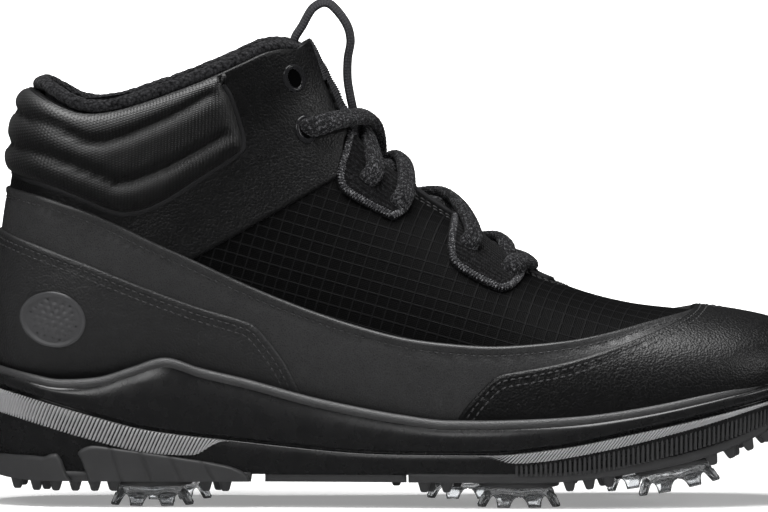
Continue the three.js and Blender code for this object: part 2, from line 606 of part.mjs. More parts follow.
for (const [name, x, y] of cleatSpots) {
  const frame = cleatFrame(x, y);
  const boss = roundPlate(bossRadius - 1.2, -bossHeight, 0.4, frame, 16, bossRadius);
  const bore = roundPlate(studRadius + clearance, -bossHeight - 1, receptacleCover + 0.5, frame, 12);
  const seat = roundPlate(receptacleRadius + clearance, receptacleCover - clearance,
    receptacleCover + receptacleHeight + clearance, frame);
  const socket = roundPlate(studRadius + clearance, receptacleCover - 1, studTop + clearance * 2, frame,
    12);
  const open = (body) => body.add(boss).subtract(bore).subtract(seat);
  if (x < 0) heelOutsole = open(heelOutsole);
  else forefootOutsole = open(forefootOutsole);
  midsole = midsole.subtract(seat);
  const holder = roundPlate(receptacleRadius, receptacleCover, receptacleCover + receptacleHeight, frame);
  add(`receptacle_${name}`, holder.subtract(socket), finish.hardPlastic);
  add(`cleat_${name}`, cleatBody(frame), finish.clear);
}

// Small pyramids of rubber between the cleats.
const nubSpots = [[-137, 0], [-128, -22], [-128, 22], [-66, -28], [10, -38], [67, -43], [66, 38], [62, 0],
  [119, -32], [118, 32],
  [122, 0], [136, -15], [136, 15]];
for (const [x, y] of nubSpots) {
  const frame = cleatFrame(x, y);
  const nub = roundPlate(nubRadius * 0.6, -nubHeight, 0.6, frame, 4, nubRadius);
  if (x < 0) heelOutsole = heelOutsole.add(nub);
  else forefootOutsole = forefootOutsole.add(nub);
}
add('midsole', midsole, finish.midsole);
add('outsole_heel', heelOutsole, finish.outsole);
add('outsole_midfoot', midfootPlate, finish.outsole);
add('outsole_forefoot', forefootOutsole, finish.outsole);

// ---------- upper ----------
const panelLayer = layer(0, panelOut);
const overlayLayer = layer(overlayIn, overlayOut);
const liningLayer = layer(liningIn, liningOut);
const stiffenerLayer = layer(stiffenerIn, liningOut);
const stiffenerRoom = layer(stiffenerIn - clearance, 1);
const boardRoom = prism(grown(boardOutline, clearance));
const rimBand = 3.4;             // width of the knitted edge down the front of the quarters
const rimFoot = [-21, 139.5];
const overFoot = [[rimFoot[0] - 40, rimFoot[1] - 15], [rimFoot[0] + 60, rimFoot[1] + 22],
  [rimFoot[0] + 60, 260], [-61, 260]];
const opening = throat(0);
const upperZone = prism(underCollar).subtract(opening).subtract(throat(rimBand).intersect(prism(overFoot)));
const rimZone = prism(underRimLine).subtract(prism(grown(underCollar, clearance)))
  .add(prism(underRimLine).intersect(throat(rimBand - clearance)).intersect(prism(grown(overFoot,
    -clearance)))).subtract(opening);

add('strobel_board', panelLayer.intersect(prism(boardOutline)), finish.board);
add('insole', last(insoleOut).intersect(prism(insoleOutline)), finish.foam);
add('heel_stiffener', stiffenerLayer.intersect(prism(heelStiffenerOutline)), finish.board);
add('toe_stiffener', stiffenerLayer.intersect(prism(toeStiffenerOutline)), finish.board);
const lining = liningLayer.subtract(stiffenerRoom.intersect(prism(grown(heelStiffenerOutline, clearance))))
  .subtract(stiffenerRoom.intersect(prism(grown(toeStiffenerOutline, clearance))));
const wholeLining = eyeletHole(lining.intersect(upperZone));
const liningZones = [['vamp', between(liningSeam + clearance, far)], ['quarter', between(-far,
  liningSeam)]];
for (const [name, zone] of liningZones) {
  add(`lining_${name}_lateral`, wholeLining.intersect(lateralOf(zone)), finish.lining);
  add(`lining_${name}_medial`, wholeLining.intersect(medialOf(zone)), finish.lining);
}
add('collar_rim', layer(liningIn, rimThickness).intersect(rimZone), finish.terry);
add('collar_pad', layer(0, collarPadThickness).intersect(prism(padOutline)).intersect(upperZone),
  finish.stretchKnit);

const padRoom = prism(grown(padOutline, clearance));
const quarter = eyeletHole(panelLayer.intersect(prism(quarterOutline)).intersect(upperZone)
  .subtract(padRoom).subtract(boardRoom));
const vamp = eyeletHole(panelLayer.intersect(prism(grown(vampOutline, -clearance))).subtract(opening)
  .subtract(boardRoom));
const spareHole = (side) => {
  const { point, normal } = onLast(spareEyelet, side, 0);
  const hole = new THREE.CylinderGeometry(2.4, 2.4, 16, 16).scale(1, 1, 1.5).rotateX(Math.PI / 2);
  const turn = new THREE.Matrix4().makeRotationFromQuaternion(new THREE.Quaternion()
    .setFromUnitVectors(new THREE.Vector3(0, 0, 1), normal));
  return solid(hole.applyMatrix4(turn.setPosition(point)));
};
for (const [name, side] of [['lateral', -1], ['medial', 1]]) {
  const half = side < 0 ? lateralOf : medialOf;
  add(`quarter_${name}`, quarter.intersect(half(wholeSide)).subtract(spareHole(side)),
    finish.quarterLeather);
  add(`vamp_side_${name}`, vamp.intersect(half(between(-far, vampSeam))), finish.ripstop);
}
add('vamp', vamp.intersect(prism(between(vampSeam + clearance, far))), finish.ripstop);

const heelRoom = prism(grown(heelOutline, clearance));
const toeRoom = prism(grown(toeOutline, clearance));
add('foxing_band', overlayLayer.intersect(prism(bandOutline)).subtract(heelRoom).subtract(toeRoom)
  .subtract(boardRoom), finish.smoothLeather);
add('heel_overlay', overlayLayer.intersect(prism(heelOutline)).subtract(boardRoom), finish.grainLeather);
add('toe_cap', overlayLayer.intersect(prism(toeOutline)).subtract(boardRoom), finish.grainLeather);

// ---------- badge, lace patches and eyelet rings ----------
// A flat outline laid on the last's side: u runs forward, v up, turned by an angle; kept between two
// offsets.
function decal([x, z], side, points, angle, inner, outer) {
  const c = Math.cos(angle), s = Math.sin(angle);
  const outline = points.map(([u, v]) => [x + (u * c - v * s) / gradeX, z + (u * s + v * c) / gradeZ]);
  const half = side < 0 ? prism(outline, -far, 0) : prism(outline, 0, far);
  return layer(inner, outer).intersect(half);
}
const oval = (a, b, segments) => Array.from({ length: segments }, (_, i) => {
  const angle = 2 * Math.PI * i / segments;
  return [a * Math.cos(angle), b * Math.sin(angle)];
});
const badgeAt = [-124, 67.5], badgeTilt = -0.3;
add('heel_badge', decal(badgeAt, -1, oval(11, 9.6, 24), badgeTilt, badgeIn, badgeIn + badgeThickness),
  finish.badge);

const ringOut = [5.1, 3.7], ringIn = [3.7, 2.4], ringTilt = 1.9;
for (const [side, word] of [[-1, 'lateral'], [1, 'medial']]) {
  const half = side < 0 ? lateralOf : medialOf;
  const everything = half(wholeSide);
  for (const [name, outline] of [['lower', lowerPatch], ['upper', upperPatch]]) {
    const patch = overlayLayer.intersect(prism(outline)).intersect(everything).subtract(opening);
    add(`lace_patch_${name}_${word}`, eyeletHole(patch), finish.smoothLeather);
  }
  for (const [name, spot] of [['top', spareEyelet], ['lace', eyelets[4]]]) {
    const ring = decal(spot, side, oval(...ringOut, 16), ringTilt, overlayIn, overlayIn + 1.2)
      .subtract(decal(spot, side, oval(...ringIn, 12), ringTilt, overlayIn - 1, overlayIn + 3));
    add(`eyelet_${name}_${word}`, eyeletHole(ring), finish.hardPlastic);
  }
}

// ---------- tongue ----------
const tongueGap = 0.7;
const foldAt = [-19, 141];       // the line across the boot where the tongue's top folds forward
const tongueIn = tongueProud - tongueThickness;
const tongueSheet = layer(tongueIn, tongueProud).intersect(throat(-tongueGap));
const foldCut = [foldAt[0] - 60, foldAt[1] - 21];
const below = [[60, foldAt[1] + 28], [60, 40], [-170, 40], foldCut];
const above = [[60, foldAt[1] + 28], [60, 220], [-170, 220], foldCut];
const tongueTopLine = [[-70, 200], [-70, 150], [-52, 157], [-44, 163.5], [-37, 166.5], [-31.5, 166.3],
  [-28, 163.5], [0, 160], [0, 200]];
add('tongue_lower', eyeletHole(tongueSheet.intersect(prism(grown(below, -0.3)))), finish.stretchKnit);
const tongueTop = tongueSheet.intersect(prism(grown(above, -0.3))).subtract(prism(tongueTopLine));
add('tongue_top', eyeletHole(tongueTop), finish.stretchKnit);

// A webbing loop from the tongue's front, over its top edge and down behind it.
const loopRoute = [[-18.6, 143], [-19.6, 147.5], [-20.2, 153], [-20, 160], [-18.8, 167], [-20.6, 173.5],
  [-26.5, 180], [-32, 178.5],
  [-36, 172], [-39, 166.5], [-38, 160], [-36, 153]];
const loopLine = loopRoute.map(([x, z]) => new THREE.Vector3(gx(x), 0, gz(z)));
const strap = sweep(loopLine, new THREE.Vector3(0, 1, 0), strapWidth, strapThickness, 24, 6);
const tongueRoom = layer(tongueIn - clearance, tongueProud + clearance)
  .subtract(prism(grown(tongueTopLine, -clearance)));
add('pull_loop', strap.subtract(tongueRoom), finish.webbing);

// ---------- lace ----------
add('lace', lace, finish.lace);
for (const [i, word] of ['lateral', 'medial'].entries()) {
  const { route, s } = halves[i];
  const end = route[route.length - 1], before = route[route.length - 2];
  const run = end.clone().sub(before).normalize();
  const turn = new THREE.Quaternion().setFromUnitVectors(new THREE.Vector3(0, 0, 1), run);
  const from = end.clone().addScaledVector(run, clearance * 2);
  const frame = new THREE.Matrix4().makeRotationFromQuaternion(turn).setPosition(from);
  add(`aglet_${s < 0 ? 'lateral' : 'medial'}`, roundPlate(agletRadius, 0, agletLength, frame, 8),
    finish.hardPlastic);
}

// ---------- the boot's own frame: middle of its length and width, on the ground ----------
const box = new THREE.Box3().setFromObject(boot);
const middle = box.getCenter(new THREE.Vector3());
boot.position.set(-middle.x, -middle.y, -box.min.z);

export default boot;
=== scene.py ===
# Spiked winter golf boot, right foot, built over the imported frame.
# All making is in millimetres, and becomes metres in makeMesh.
import math
import bpy
import bmesh
import numpy as np
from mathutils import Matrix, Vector, geometry


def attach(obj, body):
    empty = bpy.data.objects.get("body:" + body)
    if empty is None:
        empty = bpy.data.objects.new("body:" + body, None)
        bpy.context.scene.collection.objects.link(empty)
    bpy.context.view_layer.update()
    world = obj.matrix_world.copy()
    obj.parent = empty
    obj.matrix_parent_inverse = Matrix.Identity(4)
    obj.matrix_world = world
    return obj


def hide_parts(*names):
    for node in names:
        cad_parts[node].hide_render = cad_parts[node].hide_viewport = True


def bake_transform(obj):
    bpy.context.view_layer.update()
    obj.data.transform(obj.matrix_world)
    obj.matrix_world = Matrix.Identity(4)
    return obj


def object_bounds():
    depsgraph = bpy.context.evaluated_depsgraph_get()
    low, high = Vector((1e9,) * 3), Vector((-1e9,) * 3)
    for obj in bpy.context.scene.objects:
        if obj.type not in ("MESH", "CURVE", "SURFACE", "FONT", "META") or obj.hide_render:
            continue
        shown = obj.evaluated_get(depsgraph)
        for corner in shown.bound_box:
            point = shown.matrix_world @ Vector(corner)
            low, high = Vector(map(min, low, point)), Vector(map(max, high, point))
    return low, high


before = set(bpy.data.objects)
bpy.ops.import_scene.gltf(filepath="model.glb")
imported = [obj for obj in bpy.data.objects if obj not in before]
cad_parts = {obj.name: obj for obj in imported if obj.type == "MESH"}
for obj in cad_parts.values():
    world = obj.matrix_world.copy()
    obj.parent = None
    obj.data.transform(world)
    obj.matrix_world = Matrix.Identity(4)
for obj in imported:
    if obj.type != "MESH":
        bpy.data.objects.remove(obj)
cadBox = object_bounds()
print("frame loaded:", len(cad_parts), "nodes")

# camera: straight onto the lateral side, a little above, with a long lens
view = {"target": (-6.5, -25, 89.6), "distance": 5000, "elevation": 2.3, "width": 276.5}
cameraData = bpy.data.cameras.new("camera")
camera = bpy.data.objects.new("camera", cameraData)
bpy.context.scene.collection.objects.link(camera)
bpy.context.scene.camera = camera
tilt = math.radians(view["elevation"])
back = Vector((0, -math.cos(tilt), math.sin(tilt))) * view["distance"]
camera.location = (Vector(view["target"]) + back) / 1000
camera.rotation_euler = (math.pi / 2 - tilt, 0, 0)
cameraData.sensor_width = 36
cameraData.lens = 36 * view["distance"] / view["width"]
cameraData.clip_end = 20

# the frame's middle lies this far from the last's own middle line
sideShift = (cadBox[0][1] + cadBox[1][1]) * 500 + 0.32

# the last: every panel of the upper is laid on it
# bottom x, bottom z, ridge x, ridge z, lateral half width, medial half width,
# from the toe to the top of the shaft
lastStations = np.array([
    [143.5, 49, 143.5, 49, 0, 0], [141, 43.5, 142, 55.5, 15, 15],
    [134, 38.5, 135.5, 61.3, 28, 28], [122, 33, 122, 64.8, 38, 37.5],
    [105, 28, 104, 67.3, 43.5, 42.5], [84, 24, 81, 70.2, 46.5, 44.5],
    [62, 21.5, 60, 76, 47.5, 45], [40, 20.5, 40, 85.5, 46.5, 42],
    [18, 21, 21, 101, 44, 37.5], [-6, 23, 5.5, 112.5, 40.5, 34],
    [-32, 27, -6.2, 122.3, 37.5, 32], [-60, 31.5, -13.6, 131, 35.5, 32],
    [-90, 35, -18.2, 138.6, 34.5, 33], [-116, 36.5, -21.2, 143.5, 34.5, 33.5],
    [-134, 41, -23, 147.5, 34.5, 33.5], [-142.5, 54, -24.6, 150.5, 34.5, 33.5],
    [-144, 72, -26.2, 153.5, 34, 33.5], [-142.5, 90, -28, 157, 34.5, 34],
    [-139.5, 112, -29.9, 160.5, 36, 35.5], [-135.5, 136, -32.4, 165.3, 37.5, 37],
    [-130.5, 157, -35.5, 171, 38.5, 38], [-126, 172, -39, 178, 39, 39]], float)
lastEnd = len(lastStations) - 1
toeSwing = 5


def smoothStep(x, a, b):
    s = np.clip((np.asarray(x, float) - a) / (b - a), 0, 1)
    return s * s * (3 - 2 * s)


def along(values, t):
    # a Catmull-Rom curve through the values
    n = len(values)
    i = np.clip(np.floor(t).astype(int), 0, n - 2)
    f = t - i
    a, b, c, d = (values[np.clip(i + k, 0, n - 1)] for k in (-1, 0, 1, 2))
    return b + 0.5 * f * (c - a + f * (2 * a - 5 * b + 4 * c - d + f * (3 * (b - c) + d - a)))


def centreLine(x):
    return toeSwing * smoothStep(x, 40, 145)


def lastPoint(t, h, side):
    t, h, side = np.broadcast_arrays(np.asarray(t, float), np.asarray(h, float), np.asarray(side, float))
    bx, bz, tx, tz = (along(lastStations[:, k], t) for k in range(4))
    shaft = smoothStep(t, 8, 14)
    widest = 0.33 + 0.17 * shaft
    corner = np.where(h < widest, 4 - shaft, 2.15)
    reach = np.where(h < widest, (widest - h) / widest, (h - widest) / (1 - widest))
    full = np.power(np.clip(1 - np.power(np.clip(reach, 0, 1), corner), 0, 1), 1 / corner)
    half = np.where(side < 0, along(lastStations[:, 4], t), along(lastStations[:, 5], t)) * full
    x = bx + (tx - bx) * h
    return np.stack([x, centreLine(x) + side * half, bz + (tz - bz) * h], -1)


def lastNormal(t, h, side):
    t, h, side = np.broadcast_arrays(np.asarray(t, float), np.asarray(h, float), np.asarray(side, float))

    def oneSide(s):
        hh = np.clip(h, 0.003, 0.997)
        tt = np.clip(t, 0.08, lastEnd - 0.02)
        dt = lastPoint(tt + 0.02, hh, s) - lastPoint(tt - 0.02, hh, s)
        dh = lastPoint(tt, hh + 0.002, s) - lastPoint(tt, hh - 0.002, s)
        n = np.cross(dt, dh) * s[..., None]
        return n / np.maximum(np.linalg.norm(n, axis=-1, keepdims=True), 1e-9)
    own = oneSide(side)
    other = oneSide(-side)
    # near the bottom and ridge lines both sides share one normal
    near = (1 - smoothStep(np.minimum(h, 1 - h), 0.0, 0.006))[..., None]
    mirrored = own + other
    mirrored[..., 1] = 0
    n = own * (1 - near) + mirrored * near
    return n / np.maximum(np.linalg.norm(n, axis=-1, keepdims=True), 1e-9)


def sectionSpot(x, z):
    # station and height on the last for points of the side view
    x, z = np.asarray(x, float), np.asarray(z, float)
    low, high = np.full(x.shape, 0.05), np.full(x.shape, float(lastEnd))
    for _ in range(36):
        mid = (low + high) / 2
        bx, bz, tx, tz = (along(lastStations[:, k], mid) for k in range(4))
        ahead = (tx - bx) * (z - bz) - (tz - bz) * (x - bx) > 0
        low, high = np.where(ahead, mid, low), np.where(ahead, high, mid)
    bx, bz, tx, tz = (along(lastStations[:, k], low) for k in range(4))
    h = ((x - bx) * (tx - bx) + (z - bz) * (tz - bz)) / np.maximum((tx - bx) ** 2 + (tz - bz) ** 2, 1e-9)
    return low, np.clip(h, 0, 1)


def onLast(x, z, side, offset=0.0):
    t, h = sectionSpot(x, z)
    normal = lastNormal(t, h, side)
    return lastPoint(t, h, side) + normal * np.asarray(offset)[..., None], normal


# arc length round each section, so that panels are meshed evenly
tableT = np.linspace(0, lastEnd, 211)
tableH = (1 - np.cos(np.linspace(0, math.pi, 241))) / 2
tableH = np.unique(np.concatenate([tableH, np.geomspace(1e-6, 0.01, 40), 1 - np.geomspace(1e-6, 0.01, 40)]))
grid = lastPoint(tableT[:, None], tableH[None, :], -1.0)
arcSteps = np.linalg.norm(np.diff(grid, axis=1), axis=-1)
arcs = np.concatenate([np.zeros((len(tableT), 1)), np.cumsum(arcSteps, 1)], 1)
tableW = np.linspace(0, 1, 401)
heightOfArc = np.stack([np.interp(tableW * max(arcs[i, -1], 1e-6), arcs[i], tableH)
                        for i in range(len(tableT))])
middleLine = grid[:, len(tableH) // 2]
lengthOfT = np.concatenate([[0], np.cumsum(np.linalg.norm(np.diff(middleLine, axis=0), axis=-1))])
acrossScale = 95.0


def toFlat(t, h):
    # flat pattern place: length along the last, and share of the way from the bottom line to the ridge
    t, h = np.atleast_1d(t), np.atleast_1d(h)
    ti = np.clip(t / lastEnd * (len(tableT) - 1), 0, len(tableT) - 1)
    i = np.minimum(ti.astype(int), len(tableT) - 2)
    f = ti - i
    w = np.array([(1 - ff) * np.interp(hh, tableH, arcs[k] / max(arcs[k, -1], 1e-6))
                  + ff * np.interp(hh, tableH, arcs[k + 1] / max(arcs[k + 1, -1], 1e-6))
                  for k, ff, hh in zip(i, f, h)])
    return np.stack([np.interp(t, tableT, lengthOfT), w * acrossScale], -1)


def fromFlat(flat):
    t = np.interp(flat[:, 0], lengthOfT, tableT)
    w = np.clip(flat[:, 1] / acrossScale, 0, 1)
    ti, wi = t / lastEnd * (len(tableT) - 1), w * (len(tableW) - 1)
    i, j = np.minimum(ti.astype(int), len(tableT) - 2), np.minimum(wi.astype(int), len(tableW) - 2)
    fi, fj = ti - i, wi - j
    g = heightOfArc
    h = ((1 - fi) * ((1 - fj) * g[i, j] + fj * g[i, j + 1])
         + fi * ((1 - fj) * g[i + 1, j] + fj * g[i + 1, j + 1]))
    return t, h


# lines of the pattern, side view, heel to toe
def curveThrough(points, step=1.0):
    p = np.array(points, float)
    length = np.linalg.norm(np.diff(p, axis=0), axis=1).sum()
    t = np.linspace(0, len(p) - 1, max(int(length / step), len(p)) + 1)
    return np.stack([along(p[:, k], t) for k in range(p.shape[1])], -1)


def polyline(points, step=1.0):
    p = np.array(points, float)
    out = []
    for a, b in zip(p[:-1], p[1:]):
        n = max(int(np.linalg.norm(b - a) / step), 1)
        out += [a + (b - a) * k / n for k in range(n)]
    return np.array(out + [p[-1]])


def heightLine(points):
    p = np.array(points, float)
    xs, zs = p[:, 0], p[:, 1]
    slope = np.gradient(zs, xs)
    for i in range(1, len(xs) - 1):
        peak = (zs[i + 1] - zs[i]) * (zs[i] - zs[i - 1]) <= 0
        slope[i] = 0 if peak else (zs[i + 1] - zs[i - 1]) / (xs[i + 1] - xs[i - 1])

    def at(x):
        x = np.asarray(x, float)
        i = np.clip(np.searchsorted(xs, x) - 1, 0, len(xs) - 2)
        w = xs[i + 1] - xs[i]
        t = np.clip((x - xs[i]) / w, 0, 1)
        t2, t3 = t * t, t * t * t
        z = ((2 * t3 - 3 * t2 + 1) * zs[i] + (t3 - 2 * t2 + t) * w * slope[i] + (3 * t2 - 2 * t3) * zs[i + 1]
             + (t3 - t2) * w * slope[i + 1])
        before, after = slope[0] * (x - xs[0]), slope[-1] * (x - xs[-1])
        return z + np.where(x < xs[0], before, 0) + np.where(x > xs[-1], after, 0)
    return at


collarLine = curveThrough([[-150, 157], [-134, 150], [-126.5, 145.8], [-116, 141.6], [-105, 142],
                           [-90.5, 146.2], [-72.5, 153], [-58, 159.5], [-50, 163], [-43, 164], [-37, 163],
                           [-30, 160]])
bandTop = curveThrough([[-160, 116], [-143, 114], [-134, 112.7], [-123, 109.8], [-108.5, 104.4],
                        [-90.5, 95.6], [-74.5, 88.4], [-54.5, 79.2], [-36.5, 72], [-18.5, 65.9], [0, 61],
                        [17.5, 58.6], [35.5, 57.4], [57, 58.3], [71.5, 60.1], [89.5, 63.6], [104, 66.4],
                        [116, 70]])
heelTop = curveThrough([[-160, 103.5], [-144.7, 99.7], [-137.5, 96.8], [-123, 91.1], [-108.5, 85.3],
                        [-90.5, 78.1], [-72.5, 71.6], [-58, 67.3], [-52.5, 64.8], [-49, 61.2], [-42, 52.2],
                        [-35, 39.6], [-31, 30]])
toeEdge = curveThrough([[16, 25], [19, 30.6], [24.5, 37.8], [31.5, 45], [35.5, 47.6], [42.5, 48.8], [57, 51],
                        [71.5, 54.4], [89.5, 59.6], [100, 63.7], [105.5, 67.3], [109, 71], [112, 80]])
quarterFoot = polyline([[0, 139], [-21.4, 131.5], [-23, 117.7], [-74.5, 89], [-84, 82]])
padEdge = curveThrough([[-64.5, 170], [-66, 155], [-62.5, 147.5], [-59.4, 138], [-57.6, 130.5],
                        [-59.5, 126.3], [-72.5, 117.6], [-87, 108.6], [-98, 105.3], [-105, 106.4],
                        [-116, 111], [-127, 115.2], [-140.5, 118.8], [-160, 122]])
rimTop = heightLine([[-151, 50.5], [-134, 46.8], [-123, 45], [-108.7, 46], [-97.9, 49.3], [-85.3, 52.9],
                     [-72.7, 49.3], [-54.7, 45], [-35, 39.6], [-18.7, 36], [-0.7, 32.8], [17.3, 30.8],
                     [35.3, 31], [57, 32], [71.3, 33.3], [89.3, 36], [107.3, 39.6], [131.8, 45],
                     [151, 48.5]])
grooveLine = heightLine([[-151, 44], [-135, 40], [-112, 33.5], [-91.8, 28.4], [-58, 24.3], [-21, 20.6],
                         [4, 19.8], [29, 19.8], [57, 22.4], [80.6, 27], [104.4, 32], [131.8, 38.5],
                         [151, 43.6]])
bottomLine = heightLine([[-151, 12], [-141, 9.8], [-130, 9], [0, 9], [45, 9], [57, 9.4], [70, 10.6],
                         [84, 12.6], [98, 15.2], [110, 18.2], [122, 22.6], [134, 28], [145, 34], [151, 38]])
hiddenLine = np.stack([np.linspace(-150, 150, 200), rimTop(np.linspace(-150, 150, 200)) - 4.2], -1)
throatWidths = np.array([[6.3, 0], [6.4, 5], [6.7, 7.4], [7.5, 9], [9, 11], [11, 13.5], [13, 13.5],
                         [15, 12.5], [17, 12], [19, 11.5], [22, 11.5]])


def throatHeight(t, side=-1, extra=0.0):
    # how high on the section the throat's edge lies
    w = np.interp(t, throatWidths[:, 0], throatWidths[:, 1], left=0) + np.where(np.asarray(t) > 6.3, extra, 0)
    half = along(lastStations[:, 4 if side < 0 else 5], np.asarray(t, float))
    widest = 0.33 + 0.17 * smoothStep(t, 8, 14)
    full = np.clip(w / half, 0, 1)
    return widest + np.power(1 - np.power(full, 2.15), 1 / 2.15) * (1 - widest)


# meshes
def makeMesh(name, points, faces, material, body="boot", uv=None, smooth=True):
    mesh = bpy.data.meshes.new(name)
    name = "look_" + name
    place = np.asarray(points, float) / 1000
    place[:, 1] += sideShift / 1000
    mesh.from_pydata(place.tolist(), [], [list(map(int, f)) for f in faces])
    if uv is not None:
        layer = mesh.uv_layers.new(name="pattern")
        loops = np.zeros(len(mesh.loops), int)
        mesh.loops.foreach_get("vertex_index", loops)
        layer.data.foreach_set("uv", np.asarray(uv, float)[loops].ravel())
    mesh.materials.append(material)
    mesh.polygons.foreach_set("use_smooth", [smooth] * len(mesh.polygons))
    mesh.update()
    obj = bpy.data.objects.new(name, mesh)
    bpy.context.scene.collection.objects.link(obj)
    if body:
        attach(obj, body)
    return obj


def tidyMesh(obj, merge=1e-6):
    shape = bmesh.new()
    shape.from_mesh(obj.data)
    bmesh.ops.remove_doubles(shape, verts=shape.verts, dist=merge)
    bmesh.ops.recalc_face_normals(shape, faces=shape.faces)
    shape.to_mesh(obj.data)
    shape.free()
    obj.data.update()


def inside(points, loop):
    x, y = points[:, 0][:, None], points[:, 1][:, None]
    a, b = loop, np.roll(loop, -1, 0)
    crosses = (a[:, 1] > y) != (b[:, 1] > y)
    dy = np.where(b[:, 1] == a[:, 1], 1e-9, b[:, 1] - a[:, 1])
    where = a[:, 0] + (y - a[:, 1]) * (b[:, 0] - a[:, 0]) / dy
    return (crosses & (x < where)).sum(1) % 2 == 1


def nearest(points, line, chunk=2000):
    # distance from each point to a line given as closely spaced points
    out = np.empty(len(points))
    for i in range(0, len(points), chunk):
        d = points[i:i + chunk, None, :] - line[None]
        out[i:i + chunk] = np.sqrt((d * d).sum(-1).min(1))
    return out


def flatLoop(outline, throat=True):
    # a side pattern outline as a loop in the flat pattern, held at the throat's edge,
    # the ridge and the back line
    p = polyline(np.vstack([outline, outline[:1]]), 1.4)[:-1]
    t, h = sectionSpot(p[:, 0], p[:, 1])
    if throat:
        h = np.minimum(h, throatHeight(t))
    flat = toFlat(t, h)
    keep = np.linalg.norm(flat - np.roll(flat, 1, 0), axis=1) > 0.15
    return flat[keep]


def fillLoop(loop, step):
    low, high = loop.min(0), loop.max(0)
    rows = []
    y = low[1] + step / 2
    odd = 0
    while y < high[1]:
        xs = np.arange(low[0] + (step / 2 if odd else 0), high[0], step)
        rows.append(np.stack([xs, np.full(len(xs), y)], -1))
        y += step * 0.87
        odd = 1 - odd
    middle = np.vstack(rows)
    middle = middle[inside(middle, loop)]
    middle = middle[nearest(middle, loop) > step * 0.5]
    ahead = np.roll(loop, -1, 0) - np.roll(loop, 1, 0)
    following = np.roll(loop, -1, 0)
    turnSign = 1 if (loop[:, 0] * following[:, 1] - following[:, 0] * loop[:, 1]).sum() > 0 else -1
    inward = turnSign * np.stack([-ahead[:, 1], ahead[:, 0]], -1)
    inward /= np.maximum(np.linalg.norm(ahead, axis=1, keepdims=True), 1e-9)
    rings = []
    for depth in (0.45, 1.1, 1.9):
        ring = loop + inward * depth
        rings.append(ring[inside(ring, loop) & (nearest(ring, loop) > depth * 0.8)])
    middle = middle[nearest(middle, loop) > 2.3]
    middle = np.vstack(rings + [middle])
    coords = [Vector(p) for p in np.vstack([loop, middle])]
    made = geometry.delaunay_2d_cdt(coords, [], [list(range(len(loop)))], 1, 1e-4)
    return np.array([tuple(v) for v in made[0]]), np.array([f for f in made[2] if len(f) == 3])


def panel(name, outline, material, inner, outer, edges, sides=(-1, 1), step=2.0, roll=1.2, throat=True,
          raising=None, body="boot", skirt=1.6, mapping=None):
    # a panel of the upper: laid on the last, with rolled edges where its edge lines run
    flat, tris = fillLoop(flatLoop(outline, throat), step)
    t, h = fromFlat(flat)
    count = len(flat)
    edgesUsed = {}
    for f in tris:
        for a, b in ((f[0], f[1]), (f[1], f[2]), (f[2], f[0])):
            edgesUsed.setdefault((min(a, b), max(a, b)), []).append((a, b))
    rim = [e[0] for e in edgesUsed.values() if len(e) == 1]
    onSeam = (h < 1e-4) | (h > 1 - 1e-4)
    points, faces, uv, distances, parts = [], [], [], [], []
    for side in sides:
        base = lastPoint(t, h, side)
        normal = lastNormal(t, h, side)
        lines = [edgeOnLast(e, side) for e in edges]
        d = nearest(base, np.vstack(lines)) if lines else np.full(count, 99.0)
        s = np.clip(d / roll, 0, 1)
        lift = inner + (outer - inner) * np.sqrt(1 - (1 - s) ** 2)
        if raising is not None:
            lift = lift + raising(base, d, t, h, side)
        start = len(points)
        points += list(base + normal * lift[:, None])
        own = flat * (1, side) if mapping is None else mapping(base)
        uv += list(own / 10)
        faces += [tuple(start + k for k in f) for f in tris]
        low = {}
        for a, b in rim:
            if onSeam[a] and onSeam[b]:
                continue
            for k in (a, b):
                if k not in low:
                    low[k] = len(points)
                    points.append(base[k] + normal[k] * (inner - skirt))
                    uv.append(own[k] / 10)
            faces.append((start + b, start + a, low[a], low[b]))
        distances.append(d)
        parts.append((side, base, normal, lift, d))
    obj = makeMesh(name, points, faces, material, body, uv)
    tidyMesh(obj, 2e-5)
    return obj, {"tris": tris, "parts": parts}


def edgeOnLast(edge, side):
    # an edge line on the last: a side view line, or ("throat", from station, to station)
    if isinstance(edge, tuple) and edge[0] == "throat":
        t = np.linspace(edge[1], edge[2], int(abs(edge[2] - edge[1]) * 30) + 2)
        return lastPoint(t, throatHeight(t), side)
    t, h = sectionSpot(edge[:, 0], edge[:, 1])
    h = np.minimum(h, 1)
    p = lastPoint(t, h, side)
    return polyline(p, 0.5)


def contour(made, level, side):
    # runs along a panel at one distance from its edges, as (point, normal) lists
    for s, base, normal, lift, d in made["parts"]:
        if s != side:
            continue
        links, spots = {}, {}
        for f in made["tris"]:
            cuts = []
            for a, b in ((f[0], f[1]), (f[1], f[2]), (f[2], f[0])):
                da, db = d[a] - level, d[b] - level
                if (da < 0) != (db < 0):
                    key = (min(a, b), max(a, b))
                    k = da / (da - db)
                    raised = normal[a] * lift[a] * (1 - k) + normal[b] * lift[b] * k
                    spots[key] = (base[a] * (1 - k) + base[b] * k + raised,
                                  normal[a] * (1 - k) + normal[b] * k)
                    cuts.append(key)
            if len(cuts) == 2:
                links.setdefault(cuts[0], []).append(cuts[1])
                links.setdefault(cuts[1], []).append(cuts[0])
        runs, seen = [], set()
        starts = [k for k, v in links.items() if len(v) == 1] + list(links)
        for key in starts:
            if key in seen:
                continue
            run = [key]
            seen.add(key)
            while True:
                ahead = [k for k in links[run[-1]] if k not in seen]
                if not ahead:
                    break
                run.append(ahead[0])
                seen.add(ahead[0])
            if len(run) > 4:
                runs.append((np.array([spots[k][0] for k in run]), np.array([spots[k][1] for k in run])))
        return runs
    return []


